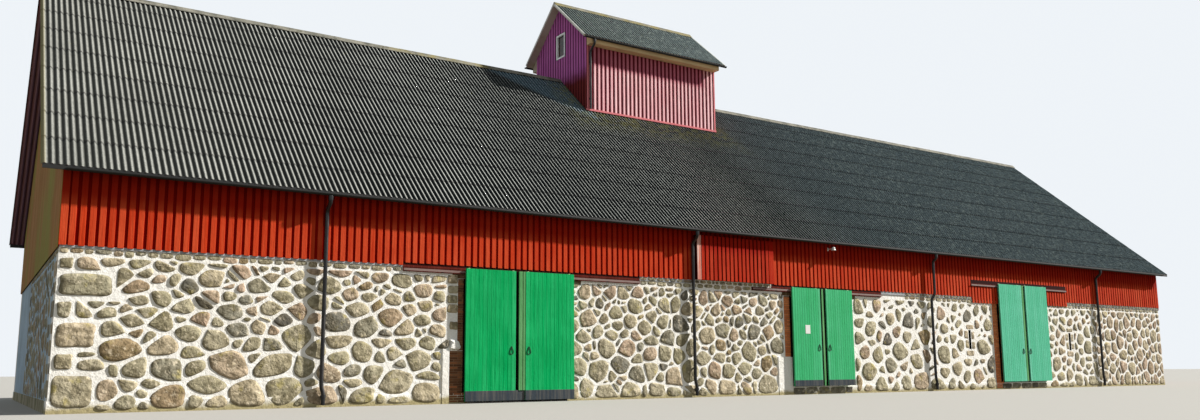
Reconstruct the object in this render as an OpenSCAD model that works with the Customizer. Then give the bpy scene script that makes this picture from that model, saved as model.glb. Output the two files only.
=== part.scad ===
// Long fieldstone barn with red timber walls above, sliding doors and a ridge cupola.
// It is a 1:2 scale model in millimetres. The origin is the middle of the footprint at ground
// level, X runs along the long walls to the right, Y to the back and Z up.

/* [Stone storey] */
// Length of the barn over the stone walls
wall_l = 24100; // [23000:100:26000]
// Width of the barn over the stone walls
wall_w = 7650; // [7000:50:8400]
// Top of the stone walls above the ground
stone_top = 1850; // [1830:5:1900]
// Thickness of the stone walls
stone_t = 275; // [220:5:340]
// Height of the concrete footing
footing_h = 140; // [80:5:145]
// How far the footing stands out in front of the stone
footing_proud = 10; // [2:1:25]
// Width of a vent slit at the outer face
slit_w = 42; // [20:1:80]
// Width of a vent slit at the inner face
slit_inner_w = 150; // [90:5:240]
// Height of a vent slit
slit_h = 390; // [200:10:600]
// Sill of the vent slits above the ground
slit_sill = 825; // [500:5:1100]
// Distance of a vent slit from the middle of the right-hand doorway
slit_from_door = 1850; // [1400:10:2000]

/* [Timber storey] */
// Thickness of the timber walls
timber_t = 80; // [50:2:120]
// How far the timber walls stand out in front of the stone
timber_proud = 12; // [4:1:16]
// Left edge of the loft hatch, from the middle of the barn
hatch_x = -2920; // [-2940:5:-2600]
// Width of the loft hatch
hatch_w = 1715; // [1000:5:1780]
// Lower edge of the loft hatch
hatch_low = 1912; // [1905:1:1990]
// Height of the loft hatch
hatch_h = 735; // [600:5:760]
// How far the loft hatch stands out in front of the timber wall
hatch_proud = 78; // [40:1:95]
// How far the hatch laps over its opening on each side
hatch_lap = 50; // [20:1:80]

/* [Roof] */
// Lower edge of the roof sheets above the ground
eave_z = 2750; // [2720:5:2900]
// Top of the roof sheets at the ridge
ridge_z = 6270; // [5700:10:6800]
// Overhang of the sheets at the long walls
eave_over = 198; // [150:1:260]
// Overhang of the sheets at the gables
gable_over = 250; // [100:5:400]
// Depth of the corrugated sheets
sheet_t = 28; // [16:1:40]
// Rows of sheets on each slope
sheet_rows = 8; // [6:1:9]
// Open gap between the slopes under the ridge cap
ridge_gap = 12; // [6:1:20]
// Width of each wing of the ridge cap
cap_wing = 150; // [90:5:220]
// Thickness of the ridge cap
cap_t = 12; // [8:1:20]
// Radius of the roll on top of the ridge cap
cap_roll_r = 32; // [26:1:48]

/* [Timber frame] */
// Side of the square posts
post_w = 90; // [60:2:130]
// Distance of the post rows from the middle of the barn
post_y = 1250; // [1150:10:1800]
// Width of the tie beams
beam_w = 100; // [70:2:140]
// Depth of the tie beams
beam_h = 130; // [90:5:170]
// Thickness of the loft floor with its joists
floor_t = 50; // [30:2:70]
// Width of the rafters
rafter_w = 60; // [40:2:90]
// Depth of the rafters, square to the slope
rafter_h = 100; // [70:5:140]
// Width of the purlins
purlin_w = 36; // [24:2:60]
// Depth of the purlins, square to the slope
purlin_h = 60; // [40:2:80]
// Thickness of the board along the ridge
ridge_board_t = 30; // [16:2:50]
// Width of the wall plates
plate_w = 70; // [50:2:100]
// Depth of the wall plates
plate_h = 110; // [70:5:150]

/* [Doorways] */
// Distance between the middles of neighbouring doorways
door_pitch = 6190; // [6100:10:6240]
// Leaf width of the left-hand door
door_1_leaf = 825; // [700:5:860]
// Leaf width of the middle door
door_2_leaf = 690; // [600:5:710]
// Leaf width of the right-hand door
door_3_leaf = 800; // [700:5:810]
// Width of the left-hand door's meeting strip
door_1_strip = 125; // [60:5:160]
// Width of the middle door's meeting strip
door_2_strip = 150; // [60:5:170]
// Width of the right-hand door's meeting strip
door_3_strip = 140; // [60:5:160]
// Top of the leaves of the left-hand door
door_1_top = 1865; // [1840:1:1875]
// Top of the leaves of the middle door
door_2_top = 1872; // [1840:1:1878]
// Top of the leaves of the right-hand door
door_3_top = 2205; // [2180:5:2260]
// Lower edge of the leaves of the left-hand door
door_1_low = 28; // [15:1:60]
// Lower edge of the leaves of the middle door
door_2_low = 146; // [120:1:200]
// Lower edge of the leaves of the right-hand door
door_3_low = 160; // [120:1:200]
// Height of the dark skirt on the left-hand door
door_1_skirt = 140; // [60:5:200]
// Height of the dark skirt on the middle door
door_2_skirt = 105; // [60:5:200]
// Height of the dark skirt on the right-hand door
door_3_skirt = 55; // [40:5:120]
// How far a leaf laps over the brick jamb
jamb_lap = 75; // [40:5:110]
// Width of the brick jambs
jamb_w = 250; // [200:5:275]
// Depth of the timber lintels
lintel_h = 125; // [90:5:180]
// Clear head of the right-hand doorway above the ground
door_3_head = 2050; // [2000:5:2100]

/* [Sliding gear] */
// Thickness of a door leaf
leaf_t = 30; // [22:1:36]
// Thickness of the board that carries a rail
rail_board_t = 16; // [10:1:20]
// Height of the board that carries a rail
rail_board_h = 62; // [48:1:64]
// Height of the flat rail
rail_h = 30; // [22:1:36]
// Thickness of the flat rail
rail_t = 6; // [4:0.5:7]
// Top of the rail below the top of the leaf
rail_drop = 38; // [34:1:42]
// Tread radius of a hanger wheel
wheel_r = 22; // [16:1:26]
// Width of a hanger wheel over its flanges
wheel_w = 12; // [10:0.5:14]
// Height of the wheel flange over its tread
flange_h = 5; // [3:0.5:6]
// Rail left of the left-hand door, beyond the closed leaf
rail_1_left = 910; // [880:5:950]
// Rail right of the left-hand door, beyond the closed leaf
rail_1_right = 1265; // [880:5:1400]
// Rail left and right of the middle door, beyond the closed leaf
rail_2_side = 890; // [760:5:950]
// Rail left and right of the right-hand door, beyond the closed leaf
rail_3_side = 875; // [840:5:880]
// Clearance between pieces that slide past each other
slide_gap = 6; // [5:0.5:8]
// Clearance between a ring handle and the inner edge of its leaf
handle_inset = 20; // [10:1:60]
// Radius of a ring handle
handle_r = 40; // [24:1:55]
// Height of the handle on the left-hand door
handle_1_z = 765; // [600:5:1000]
// Height of the handles on the other doors
handle_z = 825; // [600:5:1000]

/* [Cupola] */
// Left face of the cupola from the middle of the barn
cupola_x = -3155; // [-3400:5:-2950]
// Length of the cupola over its walls
cupola_l = 3240; // [2800:10:3600]
// Width of the cupola over its walls
cupola_w = 1950; // [1860:10:2000]
// Thickness of the cupola walls
cupola_t = 60; // [40:2:80]
// Height of the cupola's ridge over the main ridge
cupola_rise = 1615; // [1400:5:1900]
// Overhang of the cupola roof at its long sides
cupola_eave = 175; // [130:5:220]
// Overhang of the cupola roof at its gables
cupola_verge = 175; // [80:5:240]
// Thickness of the cupola roof
cupola_sheet_t = 22; // [14:1:30]
// Height of the boxed eaves
box_h = 125; // [80:5:160]
// Width of the barge boards
barge_h = 42; // [36:2:80]
// Thickness of the barge boards
barge_t = 14; // [8:1:20]
// Thickness of the soffit boards under the cupola's verges
soffit_t = 18; // [10:1:24]
// Width of a cupola window over its frame
window_w = 330; // [240:5:420]
// Height of a cupola window over its frame
window_h = 510; // [400:5:600]
// Height of the window sills over the main ridge
sill_rise = 465; // [380:5:540]
// Width of the window frame's bars
window_bar = 34; // [20:1:50]
// Thickness of a pane
pane_t = 6; // [4:1:12]

/* [Rainwater] */
// Outer radius of the gutters
gutter_r = 30; // [22:1:36]
// Thickness of the gutter sheet
gutter_t = 3; // [2:0.5:5]
// Radius of the downpipes
pipe_r = 22; // [14:1:26]
// Distance between neighbouring downpipes
pipe_pitch = 6080; // [6000:10:6160]
// Middle of the row of downpipes
pipe_mid_x = 60; // [40:5:80]
// Lower end of the downpipes above the ground
pipe_low = 30; // [15:1:100]
// Middle of the cupola's downpipe from the cupola's left face
cupola_pipe_inset = 60; // [40:2:120]

/* [Yard lamp] */
// Place of the lamp along the front wall
lamp_x = 240; // [100:10:600]
// Height of the lamp arm
lamp_z = 2615; // [2500:5:2640]
// Reach of the lamp arm from the wall
lamp_reach = 150; // [100:5:160]
// Radius of the lamp's shade
lamp_r = 32; // [20:1:45]

/* [Hidden] */
$fn = 48;

// Driving lines of the walls
half_l = wall_l / 2;
half_w = wall_w / 2;
timber_face = half_w + timber_proud;
timber_back = timber_face - timber_t;
gable_face = half_l + timber_proud;
gable_back = gable_face - timber_t;
stone_back = half_w - stone_t;

// Slope of the roof: u runs down the slope from the ridge, d square below the sheets' top
run = half_w + eave_over;
slope = (ridge_z - eave_z) / run;
pitch = atan(slope);
slope_l = run / cos(pitch);
roof_end = half_l + gable_over;
function roof_top(y) = ridge_z - abs(y) * slope;
function below_roof(y, d) = roof_top(y) - d / cos(pitch);
function slope_at(u, d, top = ridge_z) = [-u * cos(pitch) + d * sin(pitch),
                                          top - u * sin(pitch) - d * cos(pitch)];

// Depths below the sheets' top, square to the slope
sheet_seat = 0.3;
purlin_d = sheet_t + sheet_seat;
rafter_d = purlin_d + purlin_h;
rafter_low_d = rafter_d + rafter_h;

// Doors from left to right
doors = [0, 1, 2];
door_x = [for (i = doors) (i - 1) * door_pitch];
leaf_w = [door_1_leaf, door_2_leaf, door_3_leaf];
strip_w = [door_1_strip, door_2_strip, door_3_strip];
leaf_top = [door_1_top, door_2_top, door_3_top];
leaf_low = [door_1_low, door_2_low, door_3_low];
skirt_h = [door_1_skirt, door_2_skirt, door_3_skirt];
ring_z = [handle_1_z, handle_z, handle_z];
door_half = [for (i = doors) leaf_w[i] + strip_w[i] / 2];
doorway_half = [for (i = doors) door_half[i] - jamb_lap];
rail_left = [for (i = doors) door_x[i] - door_half[i] - [rail_1_left, rail_2_side, rail_3_side][i]];
rail_right = [for (i = doors) door_x[i] + door_half[i] + [rail_1_right, rail_2_side, rail_3_side][i]];
function doorway_left(i) = door_x[i] - doorway_half[i];
function doorway_right(i) = door_x[i] + doorway_half[i];

// Depth of the sliding gear in front of the walls, from the wall outwards
wheel_back = timber_face + rail_board_t + slide_gap;
wheel_front = wheel_back + wheel_w;
rail_back = wheel_back + (wheel_w - rail_t) / 2;
rail_front = rail_back + rail_t;
strap_t = 5;
strap_back = rail_front + slide_gap;
leaf_back = strap_back + strap_t;
leaf_front = leaf_back + leaf_t;
seat_gap = 0.3;
strap_w = 24;
strap_h = 130;
strap_inset = 60;
strap_tip = 8;
skirt_t = 3;
strip_t = 12;
bracket_w = 24;
bracket_pitch = 560;
board_over_rail = 20;
board_gap = 1;

// Frames of posts, beams and rafters stand beside the doorways
bay = door_pitch / 3;
frames = floor(half_l / bay - 0.5);
frame_x = [for (k = [-frames : frames - 1]) (k + 0.5) * bay];
floor_end = door_x[2] - bay / 2 + beam_w / 2;
floor_low = stone_top + beam_h;
floor_top = floor_low + floor_t;

// Opening behind the hatch
hatch_left = hatch_x + hatch_lap;
hatch_right = hatch_x + hatch_w - hatch_lap;
hatch_sill = floor_top;
hatch_head = hatch_low + hatch_h - hatch_lap;

// Cupola
cupola_end = cupola_x + cupola_l;
cupola_half = cupola_w / 2;
cupola_inner = cupola_half - cupola_t;
cupola_run = cupola_half + cupola_eave;
cupola_ridge_z = ridge_z + cupola_rise;
window_sill = ridge_z + sill_rise;
frame_proud = 8;
function cupola_top(y) = cupola_ridge_z - abs(y) * slope;
function below_cupola(y, d) = cupola_top(y) - d / cos(pitch);

// Rainwater goods
gutter_y = run - gutter_r / 2;
gutter_drop = 4;
gutter_z = eave_z - gutter_r - gutter_drop;
gutter_bracket_t = 5;
eave_drip = 8;
cupola_gutter_y = cupola_run + gutter_r - eave_drip;
cupola_gutter_drop = 12;
cupola_gutter_z = below_cupola(cupola_run, cupola_sheet_t) - cupola_gutter_drop;
pipe_x = [for (k = [-1.5 : 1 : 1.5]) pipe_mid_x + k * pipe_pitch];
clip_gap = 10;
pipe_y = timber_face + clip_gap + pipe_r;
clip_h = 24;
clip_r = pipe_r + 3;
clip_low = 460;
outlet_h = 40;

// An outline drawn in Y and Z, pulled along X from x0 to x1
module along_x(x0, x1) {
    translate([x0, 0, 0]) rotate([90, 0, 90]) linear_extrude(x1 - x0) children();
}

// A block between two corners
module block(low, high) {
    translate(low) cube(high - low);
}

// The front piece and its mirror image at the back
module front_and_back() {
    children();
    mirror([0, 1, 0]) children();
}

// Outline of a front piece that runs along the long wall and ends under the roof sheets
module under_roof_outline(y_out, y_in, low) {
    polygon([[-y_out, low], [-y_in, low],
             [-y_in, below_roof(y_in, purlin_d)], [-y_out, below_roof(y_out, purlin_d)]]);
}

module long_footing(x0, x1) {
    block([x0, -half_w - footing_proud, 0], [x1, -stone_back, footing_h]);
}

// The left-hand doorway is cut down to the ground, the others keep the footing as a sill
module front_footing() {
    color("darkgray") {
        long_footing(-half_l - footing_proud, doorway_left(0));
        long_footing(doorway_right(0), half_l + footing_proud);
    }
}

module back_footing() {
    color("darkgray") mirror([0, 1, 0]) long_footing(-half_l - footing_proud, half_l + footing_proud);
}

module gable_footings() {
    color("darkgray") for (side = [0, 1]) mirror([side, 0, 0])
        block([-half_l - footing_proud, -stone_back, 0], [-half_l + stone_t, stone_back, footing_h]);
}

module long_stone(x0, x1) {
    block([x0, -half_w, footing_h], [x1, -stone_back, stone_top]);
}

// A slit that widens towards the inside
module vent_slit(x) {
    over = 1;
    splay = (slit_inner_w - slit_w) / 2 / stone_t;
    translate([x, -half_w, slit_sill]) linear_extrude(slit_h)
        polygon([[-slit_w / 2, -over], [slit_w / 2, -over], [slit_w / 2, 0],
                 [slit_inner_w / 2 + splay * over, stone_t + over],
                 [-slit_inner_w / 2 - splay * over, stone_t + over], [-slit_w / 2, 0]]);
}

module front_stone_wall_1() {
    color("rosybrown") long_stone(-half_l, doorway_left(0) - jamb_w);
}

module front_stone_wall_2() {
    color("rosybrown") long_stone(doorway_right(0) + jamb_w, doorway_left(1) - jamb_w);
}

module front_stone_wall_3() {
    color("rosybrown") difference() {
        long_stone(doorway_right(1) + jamb_w, doorway_left(2) - jamb_w);
        vent_slit(door_x[2] - slit_from_door);
    }
}

module front_stone_wall_4() {
    color("rosybrown") difference() {
        long_stone(doorway_right(2) + jamb_w, half_l);
        vent_slit(door_x[2] + slit_from_door - slit_w);
    }
}

module back_stone_wall() {
    color("rosybrown") mirror([0, 1, 0]) long_stone(-half_l, half_l);
}

module gable_stone_walls() {
    color("rosybrown") for (side = [0, 1]) mirror([side, 0, 0])
        block([-half_l, -stone_back, footing_h], [-half_l + stone_t, stone_back, stone_top]);
}

// Brick piers beside each doorway, under the lintels or up to the timber wall
module brick_jambs() {
    color("peru") for (i = doors) {
        top = i == 2 ? stone_top : stone_top - lintel_h;
        for (x = [doorway_left(i) - jamb_w, doorway_right(i)])
            block([x, -half_w, footing_h], [x + jamb_w, -stone_back, top]);
    }
}

module door_lintels() {
    color("saddlebrown") for (i = [0, 1])
        block([doorway_left(i) - jamb_w, -half_w, stone_top - lintel_h],
              [doorway_right(i) + jamb_w, -stone_back, stone_top]);
}

module long_timber(x0, x1, low) {
    along_x(x0, x1) under_roof_outline(timber_face, timber_back, low);
}

module front_timber_wall() {
    color("firebrick") {
        long_timber(-gable_face, hatch_left, stone_top);
        long_timber(hatch_right, doorway_left(2), stone_top);
        long_timber(doorway_right(2), gable_face, stone_top);
    }
}

// Wall over the hatch and over the right-hand doorway, and the sill piece under the hatch
module front_timber_heads() {
    color("firebrick") {
        long_timber(hatch_left, hatch_right, hatch_head);
        long_timber(doorway_left(2), doorway_right(2), door_3_head);
        block([hatch_left, -timber_face, stone_top], [hatch_right, -timber_back, hatch_sill]);
    }
}

module back_timber_wall() {
    color("firebrick") mirror([0, 1, 0]) long_timber(-gable_face, gable_face, stone_top);
}

// Notches for the purlins in a gable wall, open towards the sheets
module purlin_notches() {
    over = 5;
    for (k = [1 : sheet_rows - 1]) purlin_section(k, over);
}

function purlin_u(k) = slope_l * (1 - k / sheet_rows);

// Cross-section of a purlin on the front slope, raised by over at its top
module purlin_section(k, over = 0) {
    u = purlin_u(k);
    low_u = u + purlin_w / 2;
    high_u = u - purlin_w / 2;
    polygon([slope_at(low_u, purlin_d - over), slope_at(high_u, purlin_d - over),
             slope_at(high_u, rafter_d), slope_at(low_u, rafter_d)]);
}

// Section of the board along the ridge
module ridge_board_section() {
    half_t = ridge_board_t / 2;
    translate([-half_t, below_roof(0, rafter_low_d)])
        square([ridge_board_t, below_roof(half_t, purlin_d) - below_roof(0, rafter_low_d)]);
}

// Gable wall that reaches the underside of the sheets and is cut out for the purlins
module gable_timber() {
    along_x(-gable_face, -gable_back) difference() {
        polygon([[-timber_back, stone_top], [timber_back, stone_top],
                 [timber_back, below_roof(timber_back, purlin_d)],
                 [0, below_roof(0, purlin_d)],
                 [-timber_back, below_roof(timber_back, purlin_d)]]);
        purlin_notches();
        mirror([1, 0]) purlin_notches();
        translate([-ridge_board_t / 2, below_roof(0, rafter_low_d)]) square([ridge_board_t, 2 * rafter_low_d]);
    }
}

module left_gable_wall() {
    color("saddlebrown") gable_timber();
}

module right_gable_wall() {
    color("saddlebrown") mirror([1, 0, 0]) gable_timber();
}

// Closed hatch: a board leaf on a frame that stands on the timber wall
module loft_hatch() {
    frame_w = hatch_lap;
    leaf_depth = 30;
    color("indianred") difference() {
        block([hatch_x, -timber_face - hatch_proud, hatch_low],
              [hatch_x + hatch_w, -timber_face, hatch_low + hatch_h]);
        block([hatch_x + frame_w, -timber_face - hatch_proud + leaf_depth, hatch_sill],
              [hatch_x + hatch_w - frame_w, -timber_face + 1, hatch_head]);
    }
}

function rail_top(i) = leaf_top[i] - rail_drop;
function board_back(i) = i == 2 ? timber_face : half_w;
function board_front(i) = board_back(i) + rail_board_t;
function board_top(i) = i == 2 ? rail_top(i) + board_over_rail : stone_top - board_gap;

module rail_boards() {
    color("brown") for (i = doors)
        block([rail_left[i], -board_front(i), board_top(i) - rail_board_h],
              [rail_right[i], -board_back(i), board_top(i)]);
}

// A flat rail on brackets that hold it off its board
module door_rails() {
    bracket_top = 12;
    bracket_h = 14;
    end_inset = 40;
    color("dimgray") for (i = doors) {
        block([rail_left[i], -rail_front, rail_top(i) - rail_h], [rail_right[i], -rail_back, rail_top(i)]);
        spans = ceil((rail_right[i] - rail_left[i] - 2 * end_inset) / bracket_pitch);
        step = (rail_right[i] - rail_left[i] - 2 * end_inset - bracket_w) / spans;
        for (k = [0 : spans]) {
            x = rail_left[i] + end_inset + k * step;
            block([x, -rail_back, rail_top(i) - bracket_top - bracket_h],
                  [x + bracket_w, -board_front(i), rail_top(i) - bracket_top]);
        }
    }
}

// Flanged wheel that runs on the rail, with its axle into the strap
module hanger_wheel() {
    tread = rail_t + 1;
    axle_r = 5;
    rim_r = wheel_r + flange_h;
    rotate([90, 0, 0]) rotate_extrude()
        polygon([[0, wheel_back], [rim_r, wheel_back],
                 [wheel_r, wheel_back + (wheel_w - tread) / 2], [wheel_r, wheel_front - (wheel_w - tread) / 2],
                 [rim_r, wheel_front], [axle_r, wheel_front], [axle_r, leaf_back], [0, leaf_back]]);
}

// Strap on the back of the leaf that carries a wheel
module hanger(i) {
    block([-strap_w / 2, -leaf_back, leaf_top[i] - strap_h],
          [strap_w / 2, -strap_back, leaf_top[i] + strap_tip]);
    translate([0, 0, rail_top(i) + seat_gap + wheel_r]) hanger_wheel();
}

// Ring handle that hangs on a round plate
module ring_handle() {
    ring_t = 5;
    plate_t = 6;
    plate_r = 16;
    rotate([90, 0, 0]) cylinder(r = plate_r, h = plate_t);
    translate([0, -plate_t - ring_t / 2, -handle_r]) rotate([90, 0, 0])
        rotate_extrude() translate([handle_r, 0]) circle(r = ring_t);
    translate([0, -plate_t, 0]) rotate([90, 0, 0]) cylinder(r = plate_r / 2, h = ring_t);
}

// Leaf drawn from its left edge at x = 0; edge_x is where the handle sits
module leaf(i, edge_x) {
    block([0, -leaf_front, leaf_low[i]], [leaf_w[i], -leaf_back, leaf_top[i]]);
    block([0, -leaf_front - skirt_t, leaf_low[i]], [leaf_w[i], -leaf_front, leaf_low[i] + skirt_h[i]]);
    for (x = [strap_inset, leaf_w[i] - strap_inset]) translate([x, 0, 0]) hanger(i);
    translate([edge_x, -leaf_front, ring_z[i]]) ring_handle();
}

module left_leaf(i) {
    color("mediumseagreen") translate([door_x[i] - door_half[i], 0, 0])
        leaf(i, leaf_w[i] - handle_r - handle_inset);
}

// The right leaf carries the meeting strip that closes the gap to the left leaf
module right_leaf(i) {
    color("mediumseagreen") translate([door_x[i] + door_half[i] - leaf_w[i], 0, 0]) {
        leaf(i, handle_r + handle_inset);
        block([-strip_w[i] + slide_gap, -leaf_back - strip_t, leaf_low[i]], [0, -leaf_back, leaf_top[i]]);
    }
}

module door_1_left_leaf() { left_leaf(0); }
module door_1_right_leaf() { right_leaf(0); }
module door_2_left_leaf() { left_leaf(1); }
module door_2_right_leaf() { right_leaf(1); }
module door_3_left_leaf() { left_leaf(2); }
module door_3_right_leaf() { right_leaf(2); }

// Lower posts under the tie beams, upper posts between the beams or the floor and the rafters
module posts() {
    color("burlywood") for (x = frame_x) front_and_back() {
        foot = x < floor_end ? floor_top : floor_low;
        outer = post_y + post_w / 2;
        inner = post_y - post_w / 2;
        block([x - post_w / 2, -outer, 0], [x + post_w / 2, -inner, stone_top]);
        along_x(x - post_w / 2, x + post_w / 2)
            polygon([[-outer, foot], [-inner, foot],
                     [-inner, below_roof(inner, rafter_low_d)], [-outer, below_roof(outer, rafter_low_d)]]);
    }
}

module tie_beams() {
    color("burlywood") for (x = frame_x)
        block([x - beam_w / 2, -timber_back, stone_top], [x + beam_w / 2, timber_back, floor_low]);
}

// Hay loft floor behind the hatch; the bay of the right-hand doorway stays open to the roof
module loft_floor() {
    color("tan") block([-gable_back, -timber_back, floor_low], [floor_end, timber_back, floor_top]);
}

module wall_plates() {
    low = below_roof(timber_back, rafter_low_d) - plate_h;
    color("burlywood") front_and_back() along_x(-gable_back, gable_back)
        polygon([[-timber_back, low], [-timber_back + plate_w, low],
                 [-timber_back + plate_w, below_roof(timber_back - plate_w, rafter_low_d)],
                 [-timber_back, below_roof(timber_back, rafter_low_d)]]);
}

module rafters() {
    top_y = ridge_board_t / 2;
    color("burlywood") for (x = frame_x) front_and_back()
        along_x(x - rafter_w / 2, x + rafter_w / 2)
            polygon([[-timber_back, below_roof(timber_back, rafter_low_d)],
                     [-top_y, below_roof(top_y, rafter_low_d)],
                     [-top_y, below_roof(top_y, rafter_d)],
                     [-timber_back, below_roof(timber_back, rafter_d)]]);
}

// Purlins end flush with the gable walls; those that would cross the cupola stop at its gables
module purlins() {
    x_end = gable_face;
    color("burlywood") {
        front_and_back() for (k = [1 : sheet_rows - 1]) {
            crosses = (purlin_u(k) - purlin_w / 2) * cos(pitch) < cupola_inner;
            if (crosses) {
                along_x(-x_end, cupola_x + cupola_t) purlin_section(k);
                along_x(cupola_end - cupola_t, x_end) purlin_section(k);
            } else {
                along_x(-x_end, x_end) purlin_section(k);
            }
        }
        along_x(-x_end, x_end) ridge_board_section();
    }
}

// Sheets of one slope from the height line at y_high down to the eave
module roof_slope(x0, x1, y_high) {
    along_x(x0, x1)
        polygon([slope_at(slope_l, 0), slope_at(slope_l, sheet_t),
                 [-y_high, below_roof(y_high, sheet_t)], [-y_high, roof_top(y_high)]]);
}

module roof_left() {
    color("gray") front_and_back() roof_slope(-roof_end, cupola_x + cupola_t, ridge_gap / 2);
}

module roof_below_cupola() {
    color("gray") front_and_back() roof_slope(cupola_x + cupola_t, cupola_end - cupola_t, cupola_inner);
}

module roof_right() {
    color("gray") front_and_back() roof_slope(cupola_end - cupola_t, roof_end, ridge_gap / 2);
}

// Angled cap with a roll along the ridge at height top
module ridge_cap(x0, x1, top) {
    wing = cap_wing * cos(pitch);
    rise = cap_t / cos(pitch);
    along_x(x0, x1) {
        polygon([[0, top], [-wing, top - wing * slope], [-wing, top - wing * slope + rise],
                 [0, top + rise], [wing, top - wing * slope + rise], [wing, top - wing * slope]]);
        translate([0, top]) difference() {
            circle(r = cap_roll_r);
            polygon([[0, 0], [-2 * cap_roll_r, -2 * cap_roll_r * slope],
                     [2 * cap_roll_r, -2 * cap_roll_r * slope]]);
        }
    }
}

module ridge_caps() {
    color("darkkhaki") {
        ridge_cap(-roof_end, cupola_x, ridge_z);
        ridge_cap(cupola_end, roof_end, ridge_z);
        ridge_cap(cupola_x - cupola_verge, cupola_end + cupola_verge, cupola_ridge_z);
    }
}

// Long walls of the cupola, with feet cut to the main roof
module cupola_side_walls() {
    color("indianred") front_and_back() along_x(cupola_x + cupola_t, cupola_end - cupola_t)
        polygon([[-cupola_half, roof_top(cupola_half)], [-cupola_inner, roof_top(cupola_inner)],
                 [-cupola_inner, below_cupola(cupola_inner, cupola_sheet_t)],
                 [-cupola_half, below_cupola(cupola_half, cupola_sheet_t)]]);
}

// Gable walls that sit astride the main ridge
module cupola_gable(x0) {
    along_x(x0, x0 + cupola_t) difference() {
        polygon([[-cupola_half, roof_top(cupola_half)], [0, ridge_z], [cupola_half, roof_top(cupola_half)],
                 [cupola_half, below_cupola(cupola_half, cupola_sheet_t)],
                 [0, below_cupola(0, cupola_sheet_t)],
                 [-cupola_half, below_cupola(cupola_half, cupola_sheet_t)]]);
        translate([-window_w / 2, window_sill]) square([window_w, window_h]);
    }
}

module cupola_gable_walls() {
    color("brown") {
        cupola_gable(cupola_x);
        cupola_gable(cupola_end - cupola_t);
    }
}

// Frames fill the openings and stand a little proud outside
module cupola_window(x0, x1) {
    along_x(x0, x1) difference() {
        translate([-window_w / 2, window_sill]) square([window_w, window_h]);
        translate([-window_w / 2 + window_bar, window_sill + window_bar])
            square([window_w - 2 * window_bar, window_h - 2 * window_bar]);
    }
}

module cupola_windows() {
    color("white") {
        cupola_window(cupola_x - frame_proud, cupola_x + cupola_t);
        cupola_window(cupola_end - cupola_t, cupola_end + frame_proud);
    }
}

module cupola_panes() {
    color("darkslategray") for (x = [cupola_x + cupola_t / 2, cupola_end - cupola_t / 2])
        block([x - pane_t / 2, -window_w / 2 + window_bar, window_sill + window_bar],
              [x + pane_t / 2, window_w / 2 - window_bar, window_sill + window_h - window_bar]);
}

// Boxed eaves along the cupola's walls and soffit boards under the sheets of its verges
module cupola_eaves() {
    outer = cupola_run - eave_drip;
    ridge_y = ridge_gap / 2;
    low = below_cupola(outer, cupola_sheet_t) - box_h;
    soffit_l = cupola_verge - barge_t;
    soffit_d = cupola_sheet_t + soffit_t;
    color("wheat") front_and_back() {
        along_x(cupola_x, cupola_end)
            polygon([[-cupola_half, low], [-cupola_half, below_cupola(cupola_half, cupola_sheet_t)],
                     [-outer, below_cupola(outer, cupola_sheet_t)], [-outer, low]]);
        for (x = [cupola_x - soffit_l, cupola_end]) along_x(x, x + soffit_l)
            polygon([[-outer, below_cupola(outer, cupola_sheet_t)], [-outer, below_cupola(outer, soffit_d)],
                     [-ridge_y, below_cupola(ridge_y, soffit_d)],
                     [-ridge_y, below_cupola(ridge_y, cupola_sheet_t)]]);
    }
}

// Barge boards that close the ends of the cupola's roof
module cupola_barge_boards() {
    low_u = cupola_run / cos(pitch);
    for (x = [cupola_x - cupola_verge, cupola_end + cupola_verge - barge_t])
        color("whitesmoke") front_and_back() along_x(x, x + barge_t)
            polygon([slope_at(low_u, 0, cupola_ridge_z), slope_at(low_u, barge_h, cupola_ridge_z),
                     [-ridge_gap / 2, below_cupola(ridge_gap / 2, barge_h)],
                     [-ridge_gap / 2, cupola_top(ridge_gap / 2)]]);
}

module cupola_roof() {
    low_u = cupola_run / cos(pitch);
    color("slategray") front_and_back()
        along_x(cupola_x - cupola_verge + barge_t, cupola_end + cupola_verge - barge_t)
            polygon([slope_at(low_u, 0, cupola_ridge_z), slope_at(low_u, cupola_sheet_t, cupola_ridge_z),
                     [-ridge_gap / 2, below_cupola(ridge_gap / 2, cupola_sheet_t)],
                     [-ridge_gap / 2, cupola_top(ridge_gap / 2)]]);
}

// Half-round channel with closed ends, centred on y = 0, z = 0
module gutter_channel(x0, x1) {
    along_x(x0, x1) difference() {
        circle(r = gutter_r);
        circle(r = gutter_r - gutter_t);
        translate([-2 * gutter_r, 0]) square(4 * gutter_r);
    }
    for (x = [x0, x1 - gutter_t]) along_x(x, x + gutter_t) difference() {
        circle(r = gutter_r);
        translate([-2 * gutter_r, 0]) square(4 * gutter_r);
    }
}

// Gutter brackets reach from the channel's back up to the underside of the sheets
module gutter_bracket() {
    y0 = gutter_y - gutter_r;
    y1 = y0 + gutter_bracket_t;
    along_x(-gutter_bracket_t, gutter_bracket_t)
        polygon([[-y0, gutter_z - gutter_bracket_t], [-y1, gutter_z - gutter_bracket_t],
                 [-y1, below_roof(y1, purlin_d)], [-y0, below_roof(y0, purlin_d)]]);
}

module gutters() {
    color("darkgray") front_and_back() {
        translate([0, -gutter_y, gutter_z]) gutter_channel(-half_l, half_l);
        for (k = [-2 * frames : 2 * frames]) translate([k * bay / 2, 0, 0]) gutter_bracket();
    }
    color("black") front_and_back() translate([0, -cupola_gutter_y, cupola_gutter_z])
        gutter_channel(cupola_x - cupola_verge, cupola_end + cupola_verge);
}

// Straight length of twelve-sided pipe between two points in the plane of Y and Z
module pipe_length(low, high) {
    rise = high - low;
    translate([0, low[0], low[1]]) rotate([-atan2(rise[0], rise[1]), 0, 0])
        cylinder(r = pipe_r, h = norm(rise), $fn = 12);
}

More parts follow.
